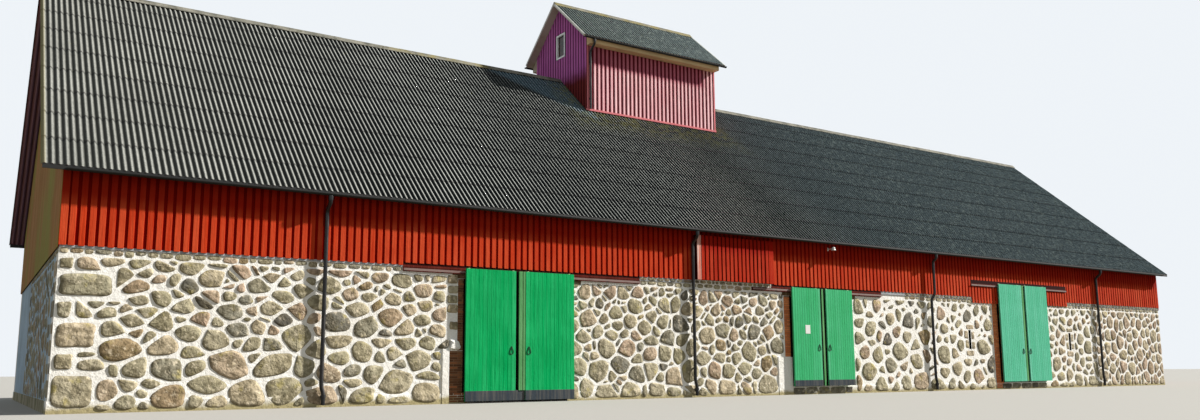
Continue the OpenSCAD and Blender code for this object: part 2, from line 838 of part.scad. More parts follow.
// Outlet, slanting neck and straight pipe from a gutter to its lower end, with clips to the wall
module downpipe(y_gutter, z_gutter, outlet, y_pipe, z_low, y_wall, clips) {
    neck_z = z_gutter - gutter_r - outlet;
    bend_z = neck_z - (y_gutter - y_pipe);
    lap = pipe_r * tan(45 / 2) * cos(45);
    color("black") {
        pipe_length([-y_gutter, neck_z], [-y_gutter, z_gutter - gutter_r]);
        pipe_length([-y_pipe + lap, bend_z - lap], [-y_gutter - lap, neck_z + lap]);
        pipe_length([-y_pipe, z_low], [-y_pipe, bend_z]);
        for (z = clips) block([-clip_r, -y_pipe - clip_r, z], [clip_r, -y_wall, z + clip_h]);
    }
}

module downpipes() {
    for (x = pipe_x) translate([x, 0, 0]) front_and_back()
        downpipe(gutter_y, gutter_z, outlet_h, pipe_y, pipe_low, half_w,
                 [clip_low, stone_top - clip_low / 2]);
    translate([cupola_x + cupola_pipe_inset, 0, 0])
        downpipe(cupola_gutter_y, cupola_gutter_z, box_h - outlet_h, cupola_half + clip_gap + pipe_r,
                 roof_top(cupola_half + clip_gap) + pipe_low, cupola_half,
                 [roof_top(cupola_half) + clip_low / 2, cupola_gutter_z - clip_low]);
}

// Small lamp on an arm under the eave
module yard_lamp() {
    plate_t = 8;
    arm_r = 7;
    color("whitesmoke") translate([lamp_x, -timber_face, lamp_z]) {
        rotate([90, 0, 0]) cylinder(r = lamp_r, h = plate_t);
        rotate([90, 0, 0]) cylinder(r = arm_r, h = lamp_reach);
        translate([0, -lamp_reach, 0]) sphere(r = lamp_r);
        translate([0, -lamp_reach, -lamp_r]) cylinder(r1 = lamp_r * 1.4, r2 = lamp_r * 0.8, h = lamp_r);
    }
}

front_footing();
back_footing();
gable_footings();
front_stone_wall_1();
front_stone_wall_2();
front_stone_wall_3();
front_stone_wall_4();
back_stone_wall();
gable_stone_walls();
brick_jambs();
door_lintels();
front_timber_wall();
front_timber_heads();
back_timber_wall();
left_gable_wall();
right_gable_wall();
loft_hatch();
rail_boards();
door_rails();
door_1_left_leaf();
door_1_right_leaf();
door_2_left_leaf();
door_2_right_leaf();
door_3_left_leaf();
door_3_right_leaf();
posts();
tie_beams();
loft_floor();
wall_plates();
rafters();
purlins();
roof_left();
roof_below_cupola();
roof_right();
ridge_caps();
cupola_side_walls();
cupola_gable_walls();
cupola_windows();
cupola_panes();
cupola_eaves();
cupola_barge_boards();
cupola_roof();
gutters();
downpipes();
yard_lamp();
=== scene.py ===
# Looks of a fieldstone barn with red boards, sliding doors and a ridge cupola.
# Lengths are metres in the part's own frame: X to the right along the front, Y to the back, Z up.
import math
import random

import bpy
import numpy as np
from mathutils import Matrix, Vector


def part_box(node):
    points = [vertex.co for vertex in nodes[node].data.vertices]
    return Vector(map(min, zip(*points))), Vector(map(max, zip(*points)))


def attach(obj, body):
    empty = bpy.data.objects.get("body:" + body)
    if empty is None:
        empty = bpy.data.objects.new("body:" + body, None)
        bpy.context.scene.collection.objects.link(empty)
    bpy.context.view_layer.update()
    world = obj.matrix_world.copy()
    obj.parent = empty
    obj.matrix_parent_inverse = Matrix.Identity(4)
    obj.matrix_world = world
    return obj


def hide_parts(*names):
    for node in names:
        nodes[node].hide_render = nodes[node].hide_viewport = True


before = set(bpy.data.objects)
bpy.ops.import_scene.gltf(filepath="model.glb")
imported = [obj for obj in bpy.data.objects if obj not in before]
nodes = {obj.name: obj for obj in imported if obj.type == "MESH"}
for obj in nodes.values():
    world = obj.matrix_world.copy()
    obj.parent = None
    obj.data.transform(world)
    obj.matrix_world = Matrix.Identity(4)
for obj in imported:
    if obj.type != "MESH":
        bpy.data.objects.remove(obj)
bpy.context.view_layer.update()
staticBody = "barn"
print("frame loaded,", len(nodes), "nodes")

# Main lines of the building, read from the frame
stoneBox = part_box("front_stone_wall_1")
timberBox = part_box("front_timber_wall")
stoneFace = -stoneBox[0].y
stoneEnd = -stoneBox[0].x
stoneTop = stoneBox[1].z
timberFace = -timberBox[0].y
timberEnd = -timberBox[0].x
footingFace = -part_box("front_footing")[0].y
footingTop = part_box("front_footing")[1].z
xAxis = Vector((1, 0, 0))
yAxis = Vector((0, 1, 0))
zAxis = Vector((0, 0, 1))


def tone(red, green, blue):
    # a colour as it looks on screen, 0 to 255, in the linear values of the shaders
    def linear(value):
        share = value / 255
        return share / 12.92 if share <= 0.04045 else ((share + 0.055) / 1.055) ** 2.4
    return (linear(red), linear(green), linear(blue), 1.0)


class Heap:
    # gathers many small shapes, which then become one mesh; tint gives each its own shade
    def __init__(self):
        self.points = []
        self.faces = []
        self.tints = []
        self.rims = []

    def add(self, points, faces, tint=0.5, rim=1.0):
        start = len(self.points)
        self.points.extend(points)
        self.faces.extend([tuple(start + i for i in face) for face in faces])
        self.tints.extend(tint if isinstance(tint, list) else [tint] * len(points))
        self.rims.extend(rim if isinstance(rim, list) else [rim] * len(points))


class Side:
    # a flat side of the building: a runs to the right as seen from outside, b up, depth outwards
    def __init__(self, origin, along, up=zAxis):
        self.origin = Vector(origin)
        self.along = Vector(along)
        self.up = Vector(up)
        self.out = self.along.cross(self.up)

    def at(self, a, b, depth):
        return self.origin + self.along * a + self.up * b + self.out * depth


frontSide = Side((0, 0, 0), xAxis)
backSide = Side((0, 0, 0), -xAxis)
leftSide = Side((0, 0, 0), -yAxis)
rightSide = Side((0, 0, 0), yAxis)


def makePiece(heap, name, look, body=staticBody, sharpAngle=35):
    # look names the finish made for it further down
    mesh = bpy.data.meshes.new(name)
    mesh.from_pydata([tuple(p) for p in heap.points], [], heap.faces)
    for key, values in (("tint", heap.tints), ("rim", heap.rims)):
        mesh.attributes.new(key, "FLOAT", "POINT").data.foreach_set("value", values)
    mesh.polygons.foreach_set("use_smooth", [True] * len(mesh.polygons))
    mesh.set_sharp_from_angle(angle=math.radians(sharpAngle))
    mesh.materials.append(looks[look])
    piece = bpy.data.objects.new(name, mesh)
    bpy.context.scene.collection.objects.link(piece)
    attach(piece, body)
    return piece


# Shapes

def addPrism(heap, side, profile, low, tops, tint=0.5):
    # profile: (a, depth) pairs from left to right over the outside; low: one height or one a point
    count = len(profile)
    lows = low if isinstance(low, list) else [low] * count
    highs = tops if isinstance(tops, list) else [tops] * count
    points = [side.at(a, b, d) for (a, d), b in zip(profile, lows)]
    points += [side.at(a, b, d) for (a, d), b in zip(profile, highs)]
    faces = [tuple(range(count, 2 * count)), tuple(range(count - 1, -1, -1))]
    faces += [(i, (i + 1) % count, count + (i + 1) % count, count + i) for i in range(count)]
    heap.add(points, faces, tint)


def addBoard(heap, side, a0, a1, low, tops, back, front, edge=0.002, tint=0.5):
    # a board with softened outer edges
    outer = front - edge
    profile = [(a0, back), (a0, outer), (a0 + edge, front), (a1 - edge, front), (a1, outer), (a1, back)]
    addPrism(heap, side, profile, low, tops, tint)


def addBlock(heap, low, high, edge=0.002, tint=0.5):
    # a block with chamfered edges, between two corners
    x0, y0, z0 = low
    x1, y1, z1 = high
    points = []
    for z, inset in ((z0, edge), (z0 + edge, 0), (z1 - edge, 0), (z1, edge)):
        a0, a1, b0, b1 = x0 + inset, x1 - inset, y0 + inset, y1 - inset
        points += [(a0 + edge, b0, z), (a1 - edge, b0, z), (a1, b0 + edge, z), (a1, b1 - edge, z),
                   (a1 - edge, b1, z), (a0 + edge, b1, z), (a0, b1 - edge, z), (a0, b0 + edge, z)]
    faces = [tuple(range(7, -1, -1)), tuple(range(24, 32))]
    for ring in range(3):
        for i in range(8):
            j = (i + 1) % 8
            faces.append((ring * 8 + i, ring * 8 + j, ring * 8 + 8 + j, ring * 8 + 8 + i))
    heap.add(points, faces, tint)


def roundedPath(corners, bend, steps=5):
    # a path through the corners, with each inner corner turned into a smooth bend
    path = [corners[0]]
    for before, corner, after in zip(corners, corners[1:], corners[2:]):
        start = corner + (before - corner).normalized() * min(bend, (before - corner).length * 0.45)
        end = corner + (after - corner).normalized() * min(bend, (after - corner).length * 0.45)
        for k in range(steps + 1):
            t = k / steps
            path.append(start * (1 - t) ** 2 + corner * 2 * t * (1 - t) + end * t * t)
    path.append(corners[-1])
    return path


def addTube(heap, path, radius, sides=16, closed=False, tint=0.5):
    # a tube along a path, with flat ends or joined into a ring
    count = len(path)
    points = []
    normal = None
    for i, point in enumerate(path):
        before = path[i - 1] if i or closed else point
        after = path[(i + 1) % count] if i < count - 1 or closed else point
        heading = (after - before).normalized()
        if normal is None:
            normal = heading.orthogonal().normalized()
        normal = (normal - heading * normal.dot(heading)).normalized()
        other = heading.cross(normal)
        for k in range(sides):
            angle = 2 * math.pi * k / sides
            points.append(point + (normal * math.cos(angle) + other * math.sin(angle)) * radius)
    faces = []
    for i in range(count if closed else count - 1):
        j = (i + 1) % count
        for k in range(sides):
            m = (k + 1) % sides
            faces.append((i * sides + k, i * sides + m, j * sides + m, j * sides + k))
    if not closed:
        faces.append(tuple(range(sides - 1, -1, -1)))
        faces.append(tuple((count - 1) * sides + k for k in range(sides)))
    heap.add(points, faces, tint)


def addDisc(heap, centre, axis, outline, sides=24, tint=0.5):
    # a turned shape: outline holds (distance along the axis, radius) pairs
    axis = Vector(axis).normalized()
    across = axis.orthogonal().normalized()
    other = axis.cross(across)
    points = []
    for reach, radius in outline:
        for k in range(sides):
            angle = 2 * math.pi * k / sides
            spoke = across * math.cos(angle) + other * math.sin(angle)
            points.append(Vector(centre) + axis * reach + spoke * radius)
    faces = []
    for i in range(len(outline) - 1):
        for k in range(sides):
            m = (k + 1) % sides
            faces.append((i * sides + k, i * sides + m, (i + 1) * sides + m, (i + 1) * sides + k))
    faces.append(tuple(range(sides - 1, -1, -1)))
    faces.append(tuple((len(outline) - 1) * sides + k for k in range(sides)))
    heap.add(points, faces, tint)


# Finishes

class Finish:
    # one material, with short ways to add its nodes; a socket takes a value or another node's output
    def __init__(self, name, roughness=0.85, specular=0.3):
        self.material = bpy.data.materials.new(name)
        self.material.use_nodes = True
        self.tree = self.material.node_tree
        self.shader = self.tree.nodes["Principled BSDF"]
        self.shader.inputs["Roughness"].default_value = roughness
        self.shader.inputs["Specular IOR Level"].default_value = specular

    def feed(self, socket, value):
        if isinstance(value, bpy.types.NodeSocket):
            self.tree.links.new(value, socket)
        else:
            socket.default_value = value

    def put(self, kind, *values, **settings):
        node = self.tree.nodes.new("ShaderNode" + kind)
        for name, value in settings.items():
            setattr(node, name, value)
        for socket, value in zip(node.inputs, values):
            if value is not None:
                self.feed(socket, value)
        return node

    def noise(self, scale, stretch=(1, 1, 1), detail=4, roughness=0.55):
        mapping = self.put("Mapping", self.put("TexCoord").outputs["Object"])
        mapping.inputs["Scale"].default_value = stretch
        node = self.put("TexNoise", mapping.outputs[0])
        node.inputs["Scale"].default_value = scale
        node.inputs["Detail"].default_value = detail
        node.inputs["Roughness"].default_value = roughness
        return node.outputs[0]

    def stored(self, name):
        return self.put("Attribute", attribute_name=name).outputs["Fac"]

    def axis(self, index):
        return self.put("SeparateXYZ", self.put("TexCoord").outputs["Object"]).outputs[index]

    def ramp(self, factor, *stops):
        node = self.put("ValToRGB", factor)
        elements = node.color_ramp.elements
        while len(elements) < len(stops):
            elements.new(0.5)
        for element, (position, colour) in zip(elements, stops):
            element.position = position
            element.color = colour
        return node.outputs[0]

    def mask(self, factor, low, high):
        # 0 below low, 1 above high, and the other way round where low is the larger
        node = self.put("MapRange", factor, low, high, 0.0, 1.0, interpolation_type="SMOOTHSTEP")
        return node.outputs[0]

    def calc(self, kind, first, second=None):
        return self.put("Math", first, second, operation=kind).outputs[0]

    def plus(self, first, second):
        return self.calc("ADD", first, second)

    def minus(self, first, second):
        return self.calc("SUBTRACT", first, second)

    def times(self, first, second):
        return self.calc("MULTIPLY", first, second)

    def mix(self, factor, first, second):
        return self.put("MixRGB", factor, first, second).outputs[0]

    def bump(self, height, distance, normal=None):
        node = self.put("Bump")
        node.inputs["Distance"].default_value = distance
        self.feed(node.inputs["Height"], height)
        if normal is not None:
            self.feed(node.inputs["Normal"], normal)
        return node.outputs[0]

    def done(self, colour, roughness=None, normal=None):
        for name, value in (("Base Color", colour), ("Roughness", roughness), ("Normal", normal)):
            if value is not None:
                self.feed(self.shader.inputs[name], value)
        return self.material


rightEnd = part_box("front_stone_wall_4")[1].x
atRightEnd = (rightEnd - 0.008, rightEnd - 0.002)
mortarTones = {
    "limeMortar": {"clean": (253, 251, 246), "stained": (244, 240, 232), "splash": (176, 164, 124)},
    # the left gable's mortar is bluish: painted skylight on that shaded gable
    "gableMortar": {"clean": (194, 214, 230), "stained": (172, 192, 206), "splash": (122, 120, 88),
                    "sunny": (-1.0, 1.0)},
    "brickMortar": {"clean": (150, 116, 90), "stained": (126, 94, 70), "splash": (110, 92, 70)},
    # darker mortar for the row under the boards: painted shade of the boards
    "dampMortar": {"clean": (176, 180, 184), "stained": (150, 154, 158), "splash": (122, 120, 88)},
}


def limeMortarFinish(name, clean, stained, splash, sunny=atRightEnd):
    # lime mortar: pale, patchy, with earth splashed up from the ground; a darker tone, painted against the
    # full sun on the right
    # gable: sunny gives the x where it starts and where it is full
    f = Finish(name, roughness=0.95, specular=0.1)
    patches = f.ramp(f.noise(1.3, detail=6), (0.36, tone(*stained)), (0.6, tone(*clean)))
    patches = f.mix(f.mask(f.axis(0), *sunny), patches, tone(162, 157, 147))
    specks = f.mask(f.noise(38, detail=3), 0.3, 0.62)
    colour = f.mix(specks, f.mix(0.12, patches, tone(120, 112, 98)), patches)
    reach = f.plus(f.axis(2), f.times(f.noise(3.5, detail=6, roughness=0.65), -0.2))
    colour = f.mix(f.mask(reach, -0.07, 0.02), tone(*splash), colour)
    coarse = f.bump(f.noise(16, detail=6, roughness=0.65), 0.012)
    return f.done(colour, normal=f.bump(f.noise(90, detail=3), 0.003, normal=coarse))


# darkness and algae are shares: darkness is painted shade on the row under the boards, and on the right
# gable a darker tone against its full sun;
# edge is the tone along the joint, on sunlit walls dark: partly the stones' own edges, partly painted shadow
# of the raised mortar
stoneLooks = {
    "fieldstone": {"edge": (56, 44, 28)},
    "dampFieldstone": {"edge": (56, 44, 28), "darkness": 0.45},
    "shadyFieldstone": {"edge": (214, 218, 216), "algae": 0.3},
    "sunnyFieldstone": {"edge": (56, 44, 28), "darkness": 0.3},
}
# the main colour of a stone goes by its tint, from 0 to 1
stoneTones = ((0.0, (96, 92, 84)), (0.07, (140, 136, 122)), (0.25, (170, 162, 134)),
              (0.45, (180, 170, 144)), (0.6, (160, 152, 124)), (0.75, (188, 174, 146)),
              (0.9, (182, 158, 136)), (1.0, (152, 132, 98)))


def fieldstoneFinish(name, edge, darkness=0.0, algae=0.0):
    # split fieldstones: one main colour a stone, mottled and lichened
    f = Finish(name, roughness=0.9, specular=0.2)
    stone = f.ramp(f.stored("tint"), *[(tint, tone(*colour)) for tint, colour in stoneTones])
    mottle = f.mask(f.noise(9, detail=8, roughness=0.6), 0.4, 0.58)
    colour = f.mix(mottle, f.mix(0.55, stone, tone(80, 70, 44)), stone)
    light = f.mask(f.noise(17, detail=7, roughness=0.62), 0.52, 0.68)
    colour = f.mix(light, colour, f.mix(0.5, stone, tone(230, 216, 190)))
    lichen = f.mask(f.noise(5, detail=7, roughness=0.65), 0.56, 0.68)
    colour = f.mix(f.times(lichen, 0.5), colour, tone(172, 158, 84))
    # darker along each stone's edge: partly the stone's own edge, partly painted shadow of the raised mortar
    ragged = f.times(f.minus(f.noise(34, detail=4), 0.5), 0.4)
    joint = f.mask(f.plus(f.stored("rim"), ragged), 0.0, 0.5)
    colour = f.mix(joint, f.mix(0.8, colour, tone(*edge)), colour)
    if darkness:
        colour = f.mix(darkness, colour, tone(52, 52, 46))
    if algae:
        green = f.mask(f.noise(2.2, stretch=(1, 1, 0.4), detail=5), 0.46, 0.64)
        colour = f.mix(f.times(green, algae), colour, tone(96, 98, 60))
    split = f.bump(f.noise(8, detail=7, roughness=0.55), 0.035)
    chips = f.bump(f.noise(42, detail=5, roughness=0.6), 0.006, normal=split)
    return f.done(colour, normal=chips)


# tones: the paint, where it is worn, where it is old. The eave shade is a darker tone under the eaves,
# from one height to another: painted shade of the eaves; a foot is another tone up to about a height
eaveShadePaint = {"tone": (142, 10, 4), "heights": (2.31, 2.5)}
# under the cupola's eaves the painted shade stops left of leftOf, where the eaves' shadow ends
cupolaEaveShadePaint = {"tone": (164, 46, 84), "heights": (6.27, 6.42), "leftOf": -0.1}
boardPaints = {
    "redBoards": {"tones": ((192, 57, 24), (207, 88, 53), (165, 38, 14)), "wear": 0.42, "head": eaveShadePaint},
    # the under-boards are darker than their boards: painted shade in the gaps between them
    "redUnderBoards": {"tones": ((156, 14, 3), (168, 24, 9), (130, 7, 0)), "wear": 0.3,
                       "head": dict(eaveShadePaint, tone=(110, 4, 0))},
    # a darker copy of the red boards for the right gable, painted against its full sun
    "sunnyRedBoards": {"tones": ((162, 48, 20), (172, 66, 38), (140, 34, 12)), "wear": 0.3},
    "gableBoards": {"tones": ((172, 126, 80), (186, 142, 98), (146, 104, 64)), "algae": 0.85},
    # darker than its boards: painted shade in the gaps
    "gableUnderBoards": {"tones": ((72, 48, 30), (92, 66, 42), (56, 36, 22))},
    "hatchBoards": {"tones": ((177, 41, 17), (196, 76, 48), (148, 28, 10)), "head": eaveShadePaint},
    # darker than its boards: painted shade in the gaps
    "hatchUnderBoards": {"tones": ((86, 6, 0), (100, 12, 4), (66, 2, 0))},
    "chippedBoard": {"tones": ((206, 120, 100), (228, 204, 194), (180, 70, 46)), "wear": 0.9},
    "cupolaRibs": {"tones": ((242, 190, 194), (248, 210, 212), (228, 160, 168)), "wear": 0.3,
                   "head": cupolaEaveShadePaint},
    # darker than its ribs: painted shade in the gaps
    "cupolaUnderBoards": {"tones": ((104, 30, 44), (116, 40, 54), (88, 22, 34)), "wear": 0.3},
    # the cupola's left gable stands in shade: its purple tone paints the blue skylight there; the right
    # gable gets the sunny copy below
    "cupolaGableBoards": {"tones": ((192, 104, 176), (206, 124, 188), (170, 84, 154)), "wear": 0.3,
                          "foot": {"tone": (112, 44, 44), "height": 6.28}},
    "sunnyCupolaBoards": {"tones": ((178, 108, 114), (190, 126, 132), (158, 88, 96)), "wear": 0.3},
    # darker than its boards: painted shade in the gaps
    "cupolaGableUnderBoards": {"tones": ((60, 20, 40), (72, 28, 50), (46, 14, 30)),
                               "foot": {"tone": (48, 14, 14), "height": 6.28}},
    "cupolaTrim": {"tones": ((214, 124, 130), (224, 148, 150), (196, 104, 112)), "wear": 0.3},
    "deepGreenBoards": {"tones": ((0, 165, 90), (46, 182, 112), (0, 136, 70)), "wear": 0.55},
    "midGreenBoards": {"tones": ((66, 180, 120), (94, 190, 140), (52, 164, 100)), "wear": 0.3},
    "paleGreenBoards": {"tones": ((94, 192, 156), (116, 200, 170), (78, 178, 138)), "wear": 0.3},
    "meetingStrip": {"tones": ((96, 156, 100), (130, 176, 128), (64, 128, 72)), "wear": 0.45},
    # near-black boards set where there is only shade: between the leaves, down the doorways and in the slits
    "meetingGap": {"tones": ((8, 14, 10), (16, 22, 16), (4, 8, 5))},
    "skirtBoards": {"tones": ((62, 70, 78), (116, 112, 104), (42, 50, 58)), "wear": 0.5},
    "railBoards": {"tones": ((96, 34, 26), (124, 58, 48), (70, 22, 16)), "wear": 0.45},
    "railShade": {"tones": ((44, 12, 10), (62, 24, 18), (32, 8, 8))},
    "agedWood": {"tones": ((132, 108, 80), (160, 136, 104), (92, 72, 52)), "wear": 0.5},
}


def boardFinish(name, tones, wear=0.4, algae=0.0, foot=None, head=None):
    # rough-sawn boards: every board has its own shade, with streaks along the grain
    f = Finish(name, roughness=0.85, specular=0.04)
    paint, worn, old = [tone(*colour) for colour in tones]
    grain = (1.0, 1.0, 0.05)
    shade = f.ramp(f.stored("tint"), (0.0, old), (0.5, paint), (1.0, worn))
    streaks = f.mask(f.noise(26, grain, detail=5, roughness=0.6), 0.35, 0.68)
    colour = f.mix(f.times(streaks, wear), shade, worn)
    fine = f.mask(f.noise(85, grain, detail=4), 0.5, 0.72)
    colour = f.mix(f.times(fine, wear * 0.7), colour, old)
    blotches = f.mask(f.noise(2.3, detail=5), 0.36, 0.66)
    colour = f.mix(f.times(blotches, 0.35), colour, old)
    if foot:
        reach = f.plus(f.axis(2), f.times(f.noise(6, detail=4), -0.2))
        colour = f.mix(f.mask(reach, foot["height"] - 0.35, foot["height"]), tone(*foot["tone"]), colour)
    if head:
        # painted shade under the eaves
        paintedEaveShade = f.times(f.mask(f.axis(2), *head["heights"]), 0.75)
        if "leftOf" in head:
            paintedEaveShade = f.times(paintedEaveShade, f.mask(f.axis(0), head["leftOf"], head["leftOf"] - 0.2))
        colour = f.mix(paintedEaveShade, colour, tone(*head["tone"]))
    if algae:
        bloom = f.mask(f.noise(1.1, stretch=(1, 1, 0.35), detail=4), 0.42, 0.62)
        colour = f.mix(f.times(bloom, algae), colour, tone(150, 148, 80))
    ribs = f.bump(f.noise(70, grain, detail=6, roughness=0.65), 0.004)
    return f.done(colour, normal=f.bump(f.noise(30, detail=4), 0.002, normal=ribs))


def concreteFinish():
    f = Finish("footingConcrete", roughness=0.93, specular=0.15)
    colour = f.ramp(f.noise(2.4, detail=7), (0.35, tone(124, 118, 92)), (0.6, tone(176, 168, 146)))
    moss = f.mask(f.noise(4.5, stretch=(1, 1, 0.5), detail=6), 0.5, 0.62)
    colour = f.mix(f.times(moss, 0.75), colour, tone(98, 98, 52))
    return f.done(colour, normal=f.bump(f.noise(40, detail=6, roughness=0.7), 0.006))


def brickFinish():
    f = Finish("brick", roughness=0.9, specular=0.2)
    burnt = f.ramp(f.stored("tint"), (0.0, tone(92, 62, 42)), (0.4, tone(146, 98, 66)),
                   (0.6, tone(206, 112, 62)), (1.0, tone(240, 146, 88)))
    specks = f.mask(f.noise(55, detail=5, roughness=0.7), 0.42, 0.66)
    colour = f.mix(f.times(specks, 0.35), burnt, tone(96, 50, 34))
    return f.done(colour, normal=f.bump(f.noise(60, detail=6, roughness=0.7), 0.004))


# places on the main roof, in metres: from where a mark starts to where it is full
roofMarks = {
    "slate": (-8.0, 5.0),
    "washed": ((-8.5, -5.0), (-1.5, 1.5)),
    "washedCrests": ((-7.6, -5.2), (-2.4, 1.0)),
    "dusty": (-7.5, -12.5),
    "belowCupola": (6.4, 6.3),
    "cupolaShadeZone": (-5.1, -4.8),
    "cupolaShadeLean": 1.5,
    "mossReach": (0.75, 0.05),
    "vergeWidth": (0.06, 0.02),
    "lapShade": (0.06, 0.01),
}
sheetTones = {
    "corrugatedSheet": {"crest": (148, 149, 144), "trough": (21, 25, 26), "lichen": (100, 96, 54),
                        "lichenShare": 0.34, "speckled": (0.0, 4.0)},
    "cupolaSheet": {"crest": (112, 120, 112), "trough": (12, 16, 16), "lichen": (104, 102, 60),
                    "lichenShare": 0.38, "speckled": (-3.5, -1.5)},
}


def blendTones(first, second, share):
    return tuple(a * (1 - share) + b * share for a, b in zip(first, second))


def between(f, rise, fall):
    # along the building: 1 between a rise and a fall, each given by its two ends
    return f.minus(f.mask(f.axis(0), *rise), f.mask(f.axis(0), *fall))


def cupolaShadowLift(f):
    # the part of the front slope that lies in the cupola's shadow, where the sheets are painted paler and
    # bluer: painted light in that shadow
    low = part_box("cupola_side_walls")[0]
    reach = f.plus(f.axis(0), f.times(f.axis(1), roofMarks["cupolaShadeLean"]))
    cupolaShadeZone = f.times(f.mask(reach, *roofMarks["cupolaShadeZone"]), f.mask(f.axis(0), low.x + 0.1, low.x))
    cupolaShadeZone = f.times(cupolaShadeZone, f.mask(f.axis(1), 0.02, 0.0))
    return f.times(cupolaShadeZone, f.mask(f.axis(2), *roofMarks["belowCupola"]))


def cupolaMoss(f):
    # moss on the main roof, along the foot of the cupola
    low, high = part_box("cupola_side_walls")
    aside = f.calc("MAXIMUM", f.minus(low.x, f.axis(0)), f.minus(f.axis(0), high.x))
    ahead = f.minus(f.calc("ABSOLUTE", f.axis(1)), high.y)
    near = f.mask(f.calc("MAXIMUM", aside, ahead), *roofMarks["mossReach"])
    onMainRoof = f.mask(f.axis(2), *roofMarks["belowCupola"])
    patchy = f.mask(f.noise(7, detail=6, roughness=0.65), 0.4, 0.62)
    return f.times(patchy, f.times(f.times(near, onMainRoof), 0.55))


def sheetFinish(name, crest, trough, lichen, lichenShare, speckled, laps=None):
    # weathered sheet: grey crests, dark troughs and a dark band under each lap, which are moss and soot and
    # also painted shade, lichen in patches; speckled gives from and to where, along the roof, pale specks
    # set in. Only the main roof has laps, and a stretch left of the middle where just the very crests are
    # washed clean
    f = Finish(name, roughness=0.9, specular=0.08)
    crest, trough = tone(*crest), tone(*trough)
    grey = f.ramp(f.noise(0.9, detail=5), (0.36, blendTones(crest, trough, 0.25)), (0.62, crest))
    slate = f.mix(0.8, grey, tone(137, 159, 166))
    grey = f.mix(f.mask(f.axis(0), *roofMarks["slate"]), grey, slate)
    wave = f.stored("tint")
    unevenness = 0.65
    if laps:
        washed = between(f, *roofMarks["washed"])
        grey = f.mix(f.times(washed, 0.6), grey, tone(206, 210, 204))
        wave = f.minus(wave, f.times(between(f, *roofMarks["washedCrests"]), 0.29))
        unevenness = f.minus(unevenness, f.times(washed, 0.35))
    # paler crests in the cupola's shadow: painted light
    grey = f.mix(f.times(cupolaShadowLift(f), 0.8), grey, tone(222, 240, 250))
    grain = f.mask(f.noise(40, detail=7, roughness=0.72), 0.32, 0.6)
    colour = f.mix(grain, f.mix(0.45, grey, trough), grey)
    dirt = f.times(f.minus(f.noise(11, detail=6, roughness=0.65), 0.5), unevenness)
    colour = f.mix(f.mask(f.plus(wave, dirt), 0.36, 0.76), trough, colour)
    dusty = f.mask(f.axis(0), *roofMarks["dusty"])
    colour = f.mix(f.times(dusty, 0.4), colour, tone(104, 104, 98))
    specks = f.mask(f.noise(10, detail=8, roughness=0.8), 0.5, 0.62)
    far = f.times(f.mask(f.axis(0), *speckled), 0.45)
    colour = f.mix(f.times(specks, far), colour, tone(156, 166, 158))
    if laps:
        fromEave = f.calc("DIVIDE", f.minus(laps["run"], f.calc("ABSOLUTE", f.axis(1))), laps["slope"])
        place = f.plus(f.calc("MODULO", fromEave, laps["pitch"]), f.times(dirt, 0.05))
        shadeFrom, shadeFull = roofMarks["lapShade"]
        under = f.mask(place, laps["pitch"] - shadeFrom, laps["pitch"] - shadeFull)
        colour = f.mix(f.times(under, 0.7), colour, trough)
    spots = f.mask(f.noise(5.5, detail=8, roughness=0.72), 1 - lichenShare, 1.06 - lichenShare)
    colour = f.mix(f.times(spots, 0.6), colour, tone(*lichen))
    # a bluish tint in the cupola's shadow: painted skylight
    colour = f.mix(f.times(cupolaShadowLift(f), 0.2), colour, tone(120, 152, 168))
    colour = f.mix(cupolaMoss(f), colour, tone(118, 116, 62))
    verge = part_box("roof_left")[0].x
    vergeFrom, vergeFull = roofMarks["vergeWidth"]
    atVerge = f.mask(f.axis(0), verge + vergeFrom, verge + vergeFull)
    colour = f.mix(f.times(atVerge, 0.6), colour, tone(156, 146, 104))
    below = f.mix(f.mask(f.stored("tint"), 0.5, 0.9), tone(92, 66, 84), tone(176, 138, 158))
    colour = f.mix(f.mask(f.stored("rim"), 0.4, 0.6), below, colour)
    return f.done(colour, normal=f.bump(f.noise(60, detail=7, roughness=0.7), 0.004))


# yellow lichen grows on a few caps of the main ridge, and on the cupola's, which lies above a height
ridgeLichen = {"from": (-6.9, -6.7), "to": (-4.7, -4.9), "above": (6.9, 7.0)}


def ridgeFinish():
    # pale cement, mossy
    f = Finish("ridgeCement", roughness=0.9, specular=0.15)
    patches = f.noise(5, detail=7, roughness=0.7)
    colour = f.ramp(patches, (0.36, tone(88, 88, 80)), (0.6, tone(134, 131, 120)))
    moss = f.mask(f.noise(9, detail=7, roughness=0.7), 0.55, 0.68)
    colour = f.mix(f.times(moss, 0.7), colour, tone(66, 66, 44))
    stretch = f.times(f.mask(f.axis(0), *ridgeLichen["from"]), f.mask(f.axis(0), *ridgeLichen["to"]))
    yellow = f.calc("MAXIMUM", stretch, f.mask(f.axis(2), *ridgeLichen["above"]))
    lichen = f.mask(f.noise(3.4, detail=8, roughness=0.72), 0.4, 0.6)
    colour = f.mix(f.times(lichen, f.times(yellow, 0.6)), colour, tone(138, 126, 70))
    return f.done(colour, normal=f.bump(f.noise(60, detail=6, roughness=0.7), 0.004))


